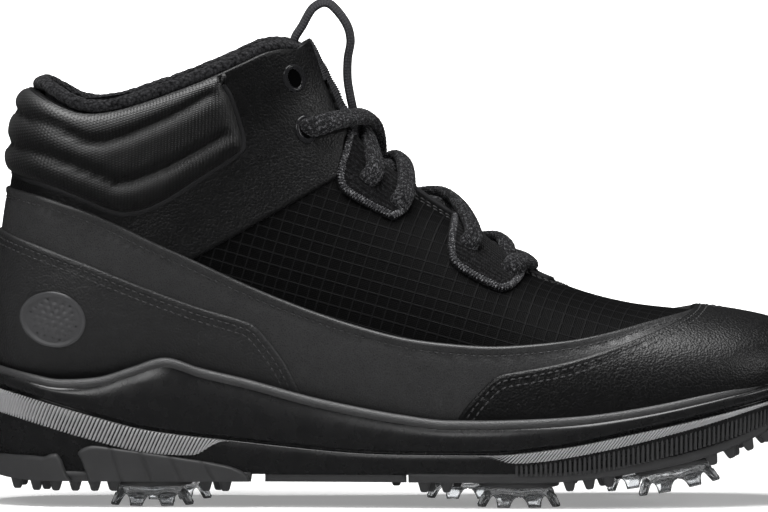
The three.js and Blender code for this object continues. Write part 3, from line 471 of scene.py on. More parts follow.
def smoothRun(points, normals, step):
    p = points.copy()
    for _ in range(3):
        p[1:-1] = (p[:-2] + 2 * p[1:-1] + p[2:]) / 4
    length = np.concatenate([[0], np.cumsum(np.linalg.norm(np.diff(p, axis=0), axis=1))])
    at = np.arange(step / 2, length[-1], step)
    q = np.stack([np.interp(at, length, p[:, k]) for k in range(3)], -1)
    n = np.stack([np.interp(at, length, normals[:, k]) for k in range(3)], -1)
    ahead = np.stack([np.interp(at + 0.4, length, p[:, k]) - np.interp(at - 0.4, length, p[:, k])
                      for k in range(3)], -1)
    ahead = ahead / np.maximum(np.linalg.norm(ahead, axis=1, keepdims=True), 1e-9)
    return q, n / np.linalg.norm(n, axis=1, keepdims=True), ahead


class Threads:
    # gathers sewn stitches of one colour into one mesh
    def __init__(self, name, material, long=2.1, thick=0.6, pitch=2.7):
        self.name, self.material, self.long, self.thick, self.pitch = name, material, long, thick, pitch
        self.points, self.faces = [], []

    def stitch(self, centre, normal, ahead, long=None, thick=None):
        long, thick = long or self.long, thick or self.thick
        across = np.cross(normal, ahead)
        start = len(self.points)
        shape = [(-1, 0.25, -0.5), (-0.72, 0.8, 0.1), (0, 1, 0.35), (0.72, 0.8, 0.1), (1, 0.25, -0.5)]
        for u, r, rise in shape:
            for k in range(5):
                a = 2 * math.pi * k / 5
                sideways = math.cos(a) * r * thick / 2 * 1.15
                up = math.sin(a) * r * thick / 2 + rise * thick * 0.6
                self.points.append(centre + ahead * (u * long / 2) + across * sideways + normal * up)
        for i in range(4):
            for k in range(5):
                a, b = start + i * 5 + k, start + i * 5 + (k + 1) % 5
                self.faces.append((a, b, b + 5, a + 5))
        self.faces += [tuple(start + k for k in range(4, -1, -1)), tuple(start + 20 + k for k in range(5))]

    def row(self, run, sink=0.0, keep=None):
        q, n, a = smoothRun(run[0], run[1], self.pitch)
        for i in range(len(q)):
            if keep is None or keep(q[i]):
                self.stitch(q[i] - n[i] * sink, n[i], a[i])

    def finish(self, body="boot"):
        obj = makeMesh(self.name, np.array(self.points), self.faces, self.material, body)
        return obj


def grow(name, rings, material, body="boot", closed=True, caps=True, uvScale=(1.0, 1.0)):
    # a skin through rings of points, each ring closed on itself
    rings = np.asarray(rings, float)
    rows, cols = rings.shape[:2]
    points = rings.reshape(-1, 3)
    faces = []
    for i in range(rows - 1):
        for k in range(cols if closed else cols - 1):
            j = (k + 1) % cols
            faces.append((i * cols + k, i * cols + j, (i + 1) * cols + j, (i + 1) * cols + k))
    if caps and closed:
        faces += [tuple(range(cols - 1, -1, -1)), tuple((rows - 1) * cols + k for k in range(cols))]
    down = np.concatenate([[0], np.cumsum(np.linalg.norm(np.diff(rings, axis=0), axis=-1).mean(1))])
    roundShare = np.linspace(0, 1, cols)
    uv = np.stack([np.repeat(down / 10 * uvScale[0], cols), np.tile(roundShare * uvScale[1], rows)], -1)
    return makeMesh(name, points, faces, material, body, uv)


# materials: node recipes in object space or in the pattern's own space
class Recipe:
    def __init__(self, name, color, rough, gloss=0.3, **more):
        self.material = bpy.data.materials.new(name)
        self.material.use_nodes = True
        self.nodes, self.links = self.material.node_tree.nodes, self.material.node_tree.links
        self.shader = next(n for n in self.nodes if n.type == "BSDF_PRINCIPLED")
        self.shader.inputs["Base Color"].default_value = (*color, 1)
        self.shader.inputs["Roughness"].default_value = rough
        for key, value in more.items():
            self.shader.inputs[key.replace("_", " ")].default_value = value
        self.color = color
        self.shader.inputs["Specular IOR Level"].default_value = gloss

    def node(self, kind, **values):
        made = self.nodes.new(kind)
        for key, value in values.items():
            setattr(made, key, value)
        return made

    def link(self, a, b):
        self.links.new(a, b)

    def place(self, pattern=False, scale=(1, 1, 1), turn=0.0):
        where = self.node("ShaderNodeTexCoord")
        mapping = self.node("ShaderNodeMapping")
        mapping.inputs["Scale"].default_value = scale
        mapping.inputs["Rotation"].default_value = (0, 0, turn)
        self.link(where.outputs["UV" if pattern else "Object"], mapping.inputs["Vector"])
        return mapping.outputs["Vector"]

    def noise(self, where, scale, detail=3.0, rough=0.55):
        made = self.node("ShaderNodeTexNoise")
        self.link(where, made.inputs["Vector"])
        made.inputs["Scale"].default_value = scale
        made.inputs["Detail"].default_value = detail
        made.inputs["Roughness"].default_value = rough
        return made.outputs["Fac"]

    def cells(self, where, scale, soft=True):
        made = self.node("ShaderNodeTexVoronoi", feature="SMOOTH_F1" if soft else "F1")
        self.link(where, made.inputs["Vector"])
        made.inputs["Scale"].default_value = scale
        if soft:
            made.inputs["Smoothness"].default_value = 0.35
        return made.outputs["Distance"]

    def math(self, operation, a, b=None, clamp=False):
        made = self.node("ShaderNodeMath", operation=operation, use_clamp=clamp)
        for k, value in enumerate((a, b)):
            if value is None:
                continue
            if isinstance(value, (int, float)):
                made.inputs[k].default_value = value
            else:
                self.link(value, made.inputs[k])
        return made.outputs[0]

    def split(self, where):
        made = self.node("ShaderNodeSeparateXYZ")
        self.link(where, made.inputs[0])
        return made.outputs

    def wave(self, value, pitch, power=1.0):
        # 0 to 1 and back once a pitch
        turn = self.math("MULTIPLY", value, 2 * math.pi / pitch)
        up = self.math("MULTIPLY", self.math("ADD", self.math("SINE", turn), 1.0), 0.5)
        return up if power == 1 else self.math("POWER", up, power)

    def paint(self, amount, light):
        mix = self.node("ShaderNodeMix", data_type="RGBA")
        mix.inputs[6].default_value = (*self.color, 1)
        mix.inputs[7].default_value = (*light, 1)
        self.link(amount, mix.inputs[0])
        self.link(mix.outputs[2], self.shader.inputs["Base Color"])

    def bump(self, height, distance, strength=1.0):
        made = self.node("ShaderNodeBump")
        made.inputs["Distance"].default_value = distance
        made.inputs["Strength"].default_value = strength
        self.link(height, made.inputs["Height"])
        if self.shader.inputs["Normal"].links:
            self.link(self.shader.inputs["Normal"].links[0].from_socket, made.inputs["Normal"])
        self.link(made.outputs[0], self.shader.inputs["Normal"])

    def shine(self, value, low, high):
        made = self.node("ShaderNodeMapRange")
        made.inputs["To Min"].default_value = low
        made.inputs["To Max"].default_value = high
        self.link(value, made.inputs["Value"])
        self.link(made.outputs[0], self.shader.inputs["Roughness"])


def leather(name, color, rough, cell, depth, crease=0.35, gloss=0.22):
    made = Recipe(name, color, rough, gloss)
    where = made.place()
    hollow = made.math("POWER", made.math("MULTIPLY", made.cells(where, 1 / cell), 1.5), 2.0)
    pebble = made.math("SUBTRACT", 1.0, hollow)
    made.bump(made.noise(where, 90, 4), 0.0006, crease)
    made.bump(pebble, depth, 0.8)
    tone = made.noise(where, 260, 4)
    made.paint(made.math("MULTIPLY", tone, 0.8), tuple(c * 1.7 + 0.004 for c in color))
    made.shine(pebble, rough + 0.12, rough - 0.06)
    return made.material


def fabric(name, color, light, pitchA, pitchB, depth, rough=0.85, flecked=False, gloss=0.06):
    made = Recipe(name, color, rough, gloss)
    pattern = made.split(made.place(True, (10, 10, 10)))
    weave = made.math("MULTIPLY", made.wave(pattern[0], pitchA), made.wave(pattern[1], pitchB))
    where = made.place()
    spots = made.noise(where, 1500, 2)
    made.bump(weave, depth, 0.9)
    made.bump(spots, depth * 0.8, 0.6)
    if flecked:
        bright = made.math("MULTIPLY", made.math("SUBTRACT", made.noise(where, 1100, 3, 0.8), 0.5), 5.0, True)
        amount = made.math("ADD", bright, made.math("MULTIPLY", weave, 0.12), True)
    else:
        amount = made.math("ADD", made.math("MULTIPLY", weave, 0.6), made.math("MULTIPLY", spots, 0.4), True)
    made.paint(amount, light)
    made.shader.inputs["Sheen Weight"].default_value = 0.04
    return made.material


def ripstop(name, color, light, cell, turn):
    made = Recipe(name, color, 0.6, 0.08)
    pattern = made.split(made.place(True, (10, 10, 10), turn))
    lines = [made.wave(pattern[k], cell, 26) for k in (0, 1)]
    both = made.math("ADD", lines[0], lines[1], True)
    weave = made.math("MULTIPLY", made.wave(pattern[0], 0.62), made.wave(pattern[1], 0.62))
    made.bump(made.noise(made.place(), 45, 3), 0.0012, 0.35)
    made.bump(weave, 0.00012, 0.8)
    made.bump(both, 0.00025, 0.7)
    made.paint(made.math("ADD", made.math("MULTIPLY", both, 0.8), made.math("MULTIPLY", weave, 0.18), True),
               light)
    return made.material


def plastic(name, color, rough, scale=300.0, depth=0.00008, **more):
    made = Recipe(name, color, rough, **more)
    where = made.place()
    made.bump(made.noise(where, scale, 3), depth, 0.6)
    tone = made.noise(where, scale * 0.4, 3)
    made.paint(made.math("MULTIPLY", tone, 0.6), tuple(min(c * 1.5 + 0.003, 1) for c in color))
    made.shine(tone, rough - 0.06, rough + 0.08)
    return made.material


def terryCloth(name, color, light):
    made = Recipe(name, color, 0.95, 0.05)
    where = made.place()
    loops = made.cells(where, 900, False)
    made.bump(made.noise(where, 260, 4), 0.0012, 0.9)
    made.bump(made.math("SUBTRACT", 1.0, loops), 0.0007, 1.0)
    made.paint(made.math("SUBTRACT", made.noise(where, 700, 4, 0.7), made.math("MULTIPLY", loops, 0.5), True),
               light)
    made.shader.inputs["Sheen Weight"].default_value = 0.06
    return made.material


finish = {
    "vamp": ripstop("ripstop", (0.0008, 0.0008, 0.0009), (0.0075, 0.0075, 0.008), 4.1, 0.0),
    "quarter": leather("quarter_leather", (0.003, 0.003, 0.0033), 0.38, 0.0008, 0.00008, 0.5, 0.36),
    "band": leather("band_leather", (0.021, 0.021, 0.0215), 0.3, 0.0006, 0.00003, 0.25, 0.5),
    "heel": leather("heel_leather", (0.015, 0.015, 0.0155), 0.36, 0.0008, 0.00008, 0.4, 0.5),
    "toe": leather("toe_leather", (0.003, 0.003, 0.0033), 0.36, 0.0008, 0.00008, 0.4, 0.42),
    "pad": fabric("pad_fabric", (0.0016, 0.0016, 0.0018), (0.009, 0.009, 0.0096), 0.75, 0.75, 0.00012, 0.5,
                  gloss=0.8),
    "terry": terryCloth("terry", (0.0035, 0.0035, 0.004), (0.08, 0.08, 0.085)),
    "lining": fabric("lining_knit", (0.016, 0.016, 0.018), (0.045, 0.045, 0.05), 1.3, 1.3, 0.0002, 0.9),
    "tongue": fabric("tongue_knit", (0.014, 0.014, 0.016), (0.085, 0.085, 0.09), 0.9, 1.2, 0.0003, 0.9),
    "patch": fabric("patch_weave", (0.0016, 0.0016, 0.0018), (0.028, 0.028, 0.03), 0.8, 1.3, 0.0003, 0.8,
                    True),
    "overlock": fabric("overlock_thread", (0.02, 0.02, 0.022), (0.3, 0.3, 0.31), 0.7, 0.7, 0.0002, 0.7, True),
    "thread": plastic("thread", (0.036, 0.036, 0.037), 0.5, 2500, 0.0001),
    "piping": plastic("piping", (0.011, 0.011, 0.012), 0.5, 900, 0.0001),
    "webbing": fabric("webbing", (0.02, 0.02, 0.023), (0.08, 0.08, 0.086), 1.1, 1.1, 0.0003, 0.8),
    "lace": fabric("lace_braid", (0.007, 0.007, 0.008), (0.2, 0.2, 0.21), 1.5, 0.9, 0.0004, 0.75, True),
    "midsole": plastic("midsole", (0.009, 0.009, 0.0095), 0.26, 500, 0.00005, gloss=0.6),
    # the bead's grey, lighter than the midsole, is a painted highlight along the rim's top
    "bead": leather("bead", (0.03, 0.03, 0.031), 0.42, 0.0006, 0.00006, 0.1, 0.8),
    # the stripes' light grey is a painted highlight for the glint of their glossy ribs
    "stripe": plastic("stripe", (0.27, 0.27, 0.275), 0.2, 500, 0.00004, gloss=1.0),
    "outsole": plastic("outsole", (0.036, 0.036, 0.037), 0.36, 400, 0.00008, gloss=0.25),
    "ring": plastic("ring", (0.012, 0.012, 0.013), 0.14, 300, 0.00003),
    "badge": plastic("badge", (0.05, 0.05, 0.052), 0.3, 400, 0.00004),
    "board": plastic("board", (0.12, 0.105, 0.085), 0.9, 1500, 0.0002),
    # near black: painted shade for the open eyelet holes
    "hole": plastic("hole", (0.0006, 0.0006, 0.0007), 0.9, 300, 0.00004, gloss=0.02),
    "hard": plastic("hard", (0.01, 0.01, 0.011), 0.3, 300, 0.00004),
    "cleat": plastic("cleat", (0.62, 0.63, 0.64), 0.12, 300, 0.00008, Transmission_Weight=0.95, IOR=1.42),
}
print("materials ready")

# fabric and leather of the upper
underside = hiddenLine[::-1]


def wholeRound(points):
    return np.vstack([points, underside])


# inner and outer distance from the last of each panel, each lying over the one before
layers = {"vamp": (0.0, 1.7), "quarter": (1.75, 2.5), "band": (2.6, 3.4), "patch": (2.55, 3.3),
          "overlay": (3.45, 4.3)}


def topEdge(fromT, toT, side=-1.0):
    # the throat's edge, and ahead of the throat the ridge, in the side view
    t = np.linspace(fromT, toT, int(abs(toT - fromT) * 12) + 2)
    return lastPoint(t, throatHeight(t), side)[:, [0, 2]]


def clothGrid(base):
    # the vamp's cloth is cut straight: its grid falls towards the toe, and runs on over the ridge
    c, s = math.cos(0.29), math.sin(0.29)
    drop = base[:, 2] - 24 * (1 - np.exp(-np.abs(base[:, 1] - centreLine(base[:, 0])) / 18))
    return np.stack([base[:, 0] * c - drop * s, base[:, 0] * s + drop * c], -1)


vampBack = [[-90, 44], [-88, 84], [-70, 97], [-30, 120]]
vamp, vampMade = panel("vamp", wholeRound(np.vstack([vampBack, topEdge(12.4, 0.05)])), finish["vamp"],
                       *layers["vamp"], [("throat", 6.3, 12)], step=2.4, mapping=clothGrid)
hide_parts("vamp", "vamp_side_lateral", "vamp_side_medial")


def ridges(*each):
    # a raise for panels: (height, distance from the edge, width) of each ridge, or groove if below nought
    return lambda p, d, t, h, s: sum(high * np.exp(-((d - at) / wide) ** 2) for high, at, wide in each)


edgeRidges = {"band": ridges((0.75, 1.2, 0.75), (-0.4, 3.4, 0.9)),
              "heel": ridges((0.35, 1.0, 0.6), (-0.3, 2.6, 0.5), (-0.3, 4.8, 0.5)),
              "toe": ridges((-0.3, 2.4, 0.5), (-0.3, 4.6, 0.5))}
collarTop = collarLine[collarLine[:, 0] < -39]
quarterOutline = np.vstack([collarTop, topEdge(19.3, 12.0), quarterFoot[12:], [[-96, 62], [-150, 62]]])
quarterMesh, _ = panel("quarters", quarterOutline, finish["quarter"], *layers["quarter"],
                                 [collarLine, quarterFoot, ("throat", 11.8, 21)], step=2.0)
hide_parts("quarter_lateral", "quarter_medial")

bandMesh, bandMade = panel("foxing_band", wholeRound(bandTop), finish["band"], *layers["band"], [bandTop],
                           step=2.2, raising=edgeRidges["band"])
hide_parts("foxing_band")

heelOutline = np.vstack([heelTop, underside[underside[:, 0] < -31]])
heelMesh, heelMade = panel("heel_overlay", heelOutline, finish["heel"], *layers["overlay"], [heelTop],
                           step=2.0, raising=edgeRidges["heel"])
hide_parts("heel_overlay")

toeOutline = np.vstack([toeEdge, [[140, 90], [170, 60], [170, 40]], underside[underside[:, 0] > 16]])
toeMesh, toeMade = panel("toe_cap", toeOutline, finish["toe"], *layers["overlay"], [toeEdge], step=2.0,
                         raising=edgeRidges["toe"])
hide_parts("toe_cap")
print("main panels laid")

seams = Threads("seam_threads", finish["thread"])
for side in (-1, 1):
    for made, levels in ((bandMade, (3.5,)), (heelMade, (2.6, 4.8)), (toeMade, (2.4, 4.6)),
                         (vampMade, (3.8, 5.8))):
        for level in levels:
            for run in contour(made, level, side):
                seams.row(run, 0.05)
seamThreads = seams.finish()

# patches that carry the lace holes, with their overlocked edges
lowerPatch = curveThrough([[17.5, 105], [16.2, 99], [16, 90], [19, 84.6], [31.5, 77.2], [37, 76.2],
                           [41.8, 79], [43.6, 84], [43.6, 90]])
upperPatch = curveThrough([[-21, 137], [-21.8, 129], [-23.6, 122], [-23.8, 116.2], [-20.5, 111], [-6, 102.8],
                           [-3.4, 101.9], [1.2, 104.8], [3.8, 111.4], [4, 118]])
patchMade = []
for name, edge in (("lower", lowerPatch), ("upper", upperPatch)):
    outline = np.vstack([edge, [[edge[-1][0] + 4, edge[-1][1] + 26], [edge[0][0] + 8, edge[0][1] + 26]]])
    obj, made = panel("lace_patch_" + name, outline, finish["patch"], *layers["patch"],
                      [edge, ("throat", 6.3, 12)], step=1.6)
    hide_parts("lace_patch_" + name + "_lateral", "lace_patch_" + name + "_medial")
    patchMade.append((made, edge))
overlock = Threads("overlock_threads", finish["overlock"], long=2.9, thick=0.95, pitch=1.05)
for made, edge in patchMade:
    for side in (-1, 1):
        for run in contour(made, 1.3, side):
            q, n, a = smoothRun(run[0], run[1], overlock.pitch)
            line = edgeOnLast(edge, side)
            for i in range(len(q)):
                if nearest(q[i:i + 1], line)[0] < 4.4:
                    across = np.cross(n[i], a[i])
                    overlock.stitch(q[i] - n[i] * 0.1, n[i], across * 0.94 + a[i] * 0.34)
overlockThreads = overlock.finish()


# tubes that follow lines on the last
def tube(name, centre, normal, wide, thick, material, sides=10, body="boot", wobble=None, caps=True):
    p = np.asarray(centre, float)
    ahead = np.gradient(p, axis=0)
    ahead /= np.maximum(np.linalg.norm(ahead, axis=1, keepdims=True), 1e-9)
    n = normal - ahead * (normal * ahead).sum(1, keepdims=True)
    n /= np.maximum(np.linalg.norm(n, axis=1, keepdims=True), 1e-9)
    across = np.cross(ahead, n)
    turns = np.linspace(0, 2 * math.pi, sides, endpoint=False)
    wide, thick = np.broadcast_to(wide, len(p)), np.broadcast_to(thick, len(p))
    rings = (p[:, None] + across[:, None] * (np.cos(turns)[None, :, None] * wide[:, None, None] / 2)
             + n[:, None] * (np.sin(turns)[None, :, None] * thick[:, None, None] / 2))
    if wobble is not None:
        rings += (rings - p[:, None]) * wobble(len(p), sides)[..., None]
    return grow(name, rings, material, body, True, caps,
                (10, 0.1 * (abs(wide).max() + abs(thick).max()) * 1.6))


pipes = []
for side in (-1, 1):
    t = np.linspace(6.32, 11.6, 120)
    h = throatHeight(t, side)
    p = lastPoint(t, h, side) + lastNormal(t, h, side) * 1.3
    n = lastNormal(t, h, side)
    pipes.append((p, n))
centre = np.vstack([pipes[0][0][::-1], pipes[1][0]])
normal = np.vstack([pipes[0][1][::-1], pipes[1][1]])
piping = tube("throat_piping", centre, normal, 2.6, 2.9, finish["piping"])

rimParts = []
for side in (-1, 1):
    line = curveThrough([[-134.5, 150.5], [-130, 152.2], [-126.5, 150.5], [-116, 145], [-105, 144.4],
                         [-90.5, 148.6], [-72.5, 155], [-58, 161.3], [-50, 164.9], [-44, 165.7],
                         [-40.6, 165.3]])
    t, h = sectionSpot(line[:, 0], line[:, 1])
    tDown = np.linspace(t[-1], 12.0, 46)
    hDown = throatHeight(tDown, side, 1.6)
    tAll = np.concatenate([t, tDown[3:]])
    hAll = np.concatenate([h, hDown[3:]])
    p = lastPoint(tAll, hAll, side) - lastNormal(tAll, hAll, side) * 1.0
    rimParts.append((p, lastNormal(tAll, hAll, side)))
centre = np.vstack([rimParts[0][0][::-1], rimParts[1][0]])
normal = np.vstack([rimParts[0][1][::-1], rimParts[1][1]])
length = np.concatenate([[0], np.cumsum(np.linalg.norm(np.diff(centre, axis=0), axis=1))])
at = np.arange(0, length[-1], 0.8)
smoothCentre = np.stack([np.interp(at, length, centre[:, k]) for k in range(3)], -1)
smoothNormal = np.stack([np.interp(at, length, normal[:, k]) for k in range(3)], -1)
for _ in range(6):
    smoothCentre[1:-1] = (smoothCentre[:-2] + 2 * smoothCentre[1:-1] + smoothCentre[2:]) / 4
    smoothNormal[1:-1] = (smoothNormal[:-2] + 2 * smoothNormal[1:-1] + smoothNormal[2:]) / 4


def terryBumps(rows, sides):
    row, side = np.arange(rows)[:, None], np.arange(sides)[None, :]
    clumps = np.sin(row * 1.35 + 2.3 * np.sin(side * 1.7 + row * 0.31)) * np.cos(side * 2.1 + row * 0.77)
    pinches = np.abs(np.sin(row * 0.33 + 0.9 * np.sin(row * 0.11))) ** 0.35
    return 0.075 * clumps + 0.13 * (pinches - 0.86)


rimPlan = {"thick": 4.9, "drop": 0.4, "sides": 14}
rim = tube("collar_rim", smoothCentre - [0, 0, rimPlan["drop"]], smoothNormal, rimPlan["thick"],
           rimPlan["thick"], finish["terry"], rimPlan["sides"], "boot", terryBumps)
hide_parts("collar_rim")
print("edges bound")

# the padded collar: three lumps of stretch cloth between stitched valleys
valleys = [curveThrough([[-137.5, 141.1], [-123, 136.8], [-108.7, 131.4], [-87, 139.3], [-70, 148.7]]),
           curveThrough([[-138.6, 129.6], [-125, 126], [-107, 119], [-100, 117], [-85, 122.4], [-66, 133.2]])]


padPlan = {"height": 4.6, "edge": 2.6, "lump": 5.2, "valley": 0.06, "wrinkle": 0.1}


def padLift(base, d, t, h, side):
    # round lumps between the valleys, which run out before the pad's front edge
    dv = np.full(len(base), 99.0)
    for line in valleys:
        t2, h2 = sectionSpot(line[:, 0], line[:, 1])
        dv = np.minimum(dv, nearest(base, polyline(lastPoint(t2, h2, side), 0.6)))
    lump = np.sqrt(1 - (1 - np.clip(dv / padPlan["lump"], 0, 1)) ** 2)
    fullness = padPlan["valley"] + (1 - padPlan["valley"]) * lump
    lift = padPlan["height"] * (1 - np.exp(-d / padPlan["edge"])) * fullness
    crease = np.sin(base[:, 0] * 0.9 + 3 * np.sin(base[:, 2] * 0.23))
    wrinkle = crease * np.sin(base[:, 2] * 0.31 + base[:, 0] * 0.1)
    return lift + padPlan["wrinkle"] * wrinkle * (1 - np.exp(-d / 3))


padTop = collarLine[collarLine[:, 0] < -64]
padOutline = np.vstack([padTop, padEdge[padEdge[:, 1] < 151]])
pad, _ = panel("collar_pad", padOutline, finish["pad"], 0.6, 2.2, [padTop, padEdge], step=1.3, roll=1.6,
               raising=padLift)
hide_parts("collar_pad")
padRows = Threads("collar_threads", finish["thread"], long=1.8, thick=0.4, pitch=2.4)
trimStrips = []
for side in (-1, 1):
    low = padEdge[:, 1] < 152
    t, h = sectionSpot(padEdge[low, 0], padEdge[low, 1])
    p = lastPoint(t, h, side) + lastNormal(t, h, side) * 2.2
    trimStrips.append((p, lastNormal(t, h, side)))
trim = tube("collar_trim", np.vstack([trimStrips[0][0], trimStrips[1][0][::-1]]),
            np.vstack([trimStrips[0][1], trimStrips[1][1][::-1]]), 2.4, 1.5, finish["piping"])
# the leather around the pad shows a row of stitches just outside its strip
outerRow = curveThrough([[-56.2, 150], [-54.5, 138], [-52.8, 130.5], [-55.5, 123.6], [-70, 113.8],
                         [-86, 104.6], [-98, 101.2], [-106, 102.4], [-117, 107], [-128, 111.2],
                         [-138, 114.4]])
for side in (-1, 1):
    t, h = sectionSpot(outerRow[:, 0], outerRow[:, 1])
    n = lastNormal(t, h, side)
    padRows.row((lastPoint(t, h, side) + n * 2.25, n))
collarThreads = padRows.finish()
print("collar padded")

# lining, insole
innerTop = curveThrough([[-134, 150], [-126.5, 150], [-116, 145], [-90.5, 148], [-72.5, 154], [-50, 163],
                         [-40, 163.5]])
innerOutline = np.vstack([innerTop, topEdge(19.3, 0.05), [[150, 30], [140, 24], [-140, 26], [-160, 50]]])
inner, _ = panel("lining", innerOutline, finish["lining"], -4.2, -4.0, [], step=4.0, skirt=0.3)
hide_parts("lining_vamp_lateral", "lining_vamp_medial", "lining_quarter_lateral",
            "lining_quarter_medial", "heel_stiffener", "toe_stiffener")

alongFoot = np.linspace(2.2, 12.6, 70)
insoleRows = []
for t in alongFoot:
    bx, bz = along(lastStations[:, 0], np.array(t)), along(lastStations[:, 1], np.array(t))
    left, right = along(lastStations[:, 4], np.array(t)) - 6.4, along(lastStations[:, 5], np.array(t)) - 6.4
    end = smoothStep(t, 12.7, 11.0) if t > 11 else 1 - smoothStep(t, 2.9, 2.1)
    end = min(1.0, math.sqrt(max(1 - ((t - 11.6) / 1.05) ** 2, 0.02)) if t > 11.6 else 1) * min(
        1.0, math.sqrt(max(1 - ((3.0 - t) / 0.85) ** 2, 0.02)) if t < 3.0 else 1)
    row = []
    for k in np.linspace(-1, 1, 25):
        y = (left if k < 0 else right) * k * end
        cup = 2.2 * abs(k) ** 6
        row.append((float(bx), float(centreLine(bx) + y), float(bz) + 8.1 + cup))
    under = [(x, y, z - 3.6 - 1.8 * abs(k) ** 6) for (x, y, z), k in zip(row[::-1], np.linspace(1, -1, 25))]
    insoleRows.append(row + under)
insole = grow("insole", insoleRows, finish["tongue"])
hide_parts("insole")

# tongue: ribbed knit over the instep
tongueAt = np.linspace(6.34, 19.3, 180)
tongueRows = []
for t in tongueAt:
    free = smoothStep(t, 12, 15)
    w = np.interp(t, throatWidths[:, 0], throatWidths[:, 1])
    w = w + 3.5 * smoothStep(t, 6.3, 7.5) * (1 - free) - 0.9 * free
    top = math.sqrt(max(1 - ((t - 18.6) / 0.71) ** 2, 0.03)) if t > 18.6 else 1
    outer, innerRow = [], []
    for k in np.linspace(-1, 1, 41):
        side = -1.0 if k < 0 else 1.0
        half = along(lastStations[:, 4 if side < 0 else 5], np.array(t))
        y = abs(k) * w * top
        widest = 0.33 + 0.17 * float(smoothStep(t, 8, 14))
        h = widest + (1 - (min(y / half, 1)) ** 2.15) ** (1 / 2.15) * (1 - widest)
        n = lastNormal(t, h, side)
        p = lastPoint(t, h, side)
        if abs(k) < 1e-9:
            n[1] = 0
        upTongue = np.interp(t, tableT, lengthOfT)
        if t < 12.5:
            rib = 0.32 * math.sin(y * 2 * math.pi / 2.2)
        else:
            rib = 0.25 * math.sin(lengthOfT[0] + upTongue * 2 * math.pi / 2.6)
        puff = 0.5 * math.sin(upTongue / 3.7)
        outer.append(p + n * ((0.7 + rib + 0.2 * puff) * (1 - abs(k) ** 8) - 0.9 * abs(k) ** 8))
        innerRow.append(p - n * (2.9 - 1.4 * abs(k) ** 6))
    tongueRows.append(outer + innerRow[::-1])
tongue = grow("tongue", tongueRows, finish["tongue"], None)
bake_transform(tongue)
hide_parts("tongue_lower", "tongue_top")

# pull loop of webbing
loopLine = curveThrough([[-17.7, 0, 141.7], [-18.1, 0, 143.6], [-18.9, 0, 147.5], [-19.7, 0, 153],
                         [-19.6, 0, 160], [-18.6, 0, 167], [-20.6, 0, 173.5], [-26.5, 0, 180],
                         [-32, 0, 178.5], [-36, 0, 172], [-39, 0, 166.5], [-38, 0, 160], [-36, 0, 153]], 0.5)
slope = np.gradient(loopLine, axis=0)
slope /= np.linalg.norm(slope, axis=1, keepdims=True)
loopNormal = np.stack([slope[:, 2], np.zeros(len(slope)), -slope[:, 0]], -1)
strapRings = []
for k, (p, n) in enumerate(zip(loopLine, loopNormal)):
    ring = []
    for y, lift in [(-4, 0), (-3.7, 0.55), (-2.6, 0.6), (-1.3, 0.6), (0, 0.6), (1.3, 0.6), (2.6, 0.6),
                    (3.7, 0.55), (4, 0), (3.7, -0.55), (2.6, -0.6), (0, -0.6), (-2.6, -0.6), (-3.7, -0.55)]:
        weave = 0.13 * math.sin(k * 0.5 * 2 * math.pi / 1.5 + (math.pi if int(abs(y) * 0.8) % 2 else 0))
        rough = (weave if abs(lift) > 0.58 else 0) * (1 if lift > 0 else -1)
        ring.append(p + np.array([0, y * 0.97, 0]) + n * (y * 0.22 + lift * 1.4 + rough))
    strapRings.append(ring)
loop = grow("pull_loop", strapRings, finish["webbing"], "tongue_top")
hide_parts("pull_loop")
print("tongue and loop sewn")

# lace: the same route as the frame's lace
lacePlan = {"eyelets": [[37.1, 82], [22.2, 91.6], [-2.4, 106.6], [-13.6, 115.4], [-35.4, 134.6]],
            "spare": [-40.3, 153.4], "over": 5.1, "under": -2.2, "inside": -5.8, "width": 7.4,
            "thickness": 4.4}
throatward = np.array([0.62, 0.78])


def place(x, z, side, offset):
    p, n = onLast(np.array([float(x)]), np.array([float(z)]), float(side), np.array([float(offset)]))
    return p[0], n[0]


def overRidge(x, offset):
    t = np.array(float(np.interp(-x, -lastStations[:, 2], np.arange(lastEnd + 1))))
    for _ in range(12):
        t = t + np.clip((along(lastStations[:, 2], t) - x) / 18, -0.5, 0.5)
    n = lastNormal(t, 1.0, 1.0)
    n[..., 1] = 0
    return lastPoint(t, 1.0, 1.0) + n / np.linalg.norm(n) * offset


def eyeletTurn(eyelet, side):
    p, n = place(eyelet[0], eyelet[1], side, 0)
    q, _ = place(eyelet[0] + throatward[0] * 2, eyelet[1] + throatward[1] * 2, side, 0)
    inward = q - p
    inward -= n * inward.dot(n)
    inward /= np.linalg.norm(inward)
    middle, turn = (lacePlan["over"] + lacePlan["under"]) / 2, (lacePlan["over"] - lacePlan["under"]) / 2
    return [p + inward * turn * (1 - math.cos(a)) + n * (middle + turn * math.sin(a))
            for a in (math.pi / 2, math.pi / 4, 0, -math.pi / 4, -math.pi / 2)]


def halfLace(side, lift):
    eyelets = lacePlan["eyelets"]
    route = [overRidge(eyelets[0][0] + 7, 4.2)] + eyeletTurn(eyelets[0], side)
    s = side
    for i in (1, 2, 3):
        midway = (eyelets[i][0] + eyelets[i - 1][0]) / 2 + 4
        s = -s
        route += [overRidge(midway, 1 + lift * (1 if i % 2 else -1) + 1.92)] + eyeletTurn(eyelets[i], s)[::-1]
    s = -s
    route.append(overRidge(-16, 1 + lift + 2.88))
    for dx, dz, offset in ((9, 1.5, 6.1), (3, 0.4, 5.1), (-0.4, 0, 0.6), (-2, -5, -5.8), (-5, -20, -8.8),
                           (-8, -36, -13.8)):
        route.append(place(eyelets[4][0] + dx, eyelets[4][1] + dz, s, offset)[0])
    return route


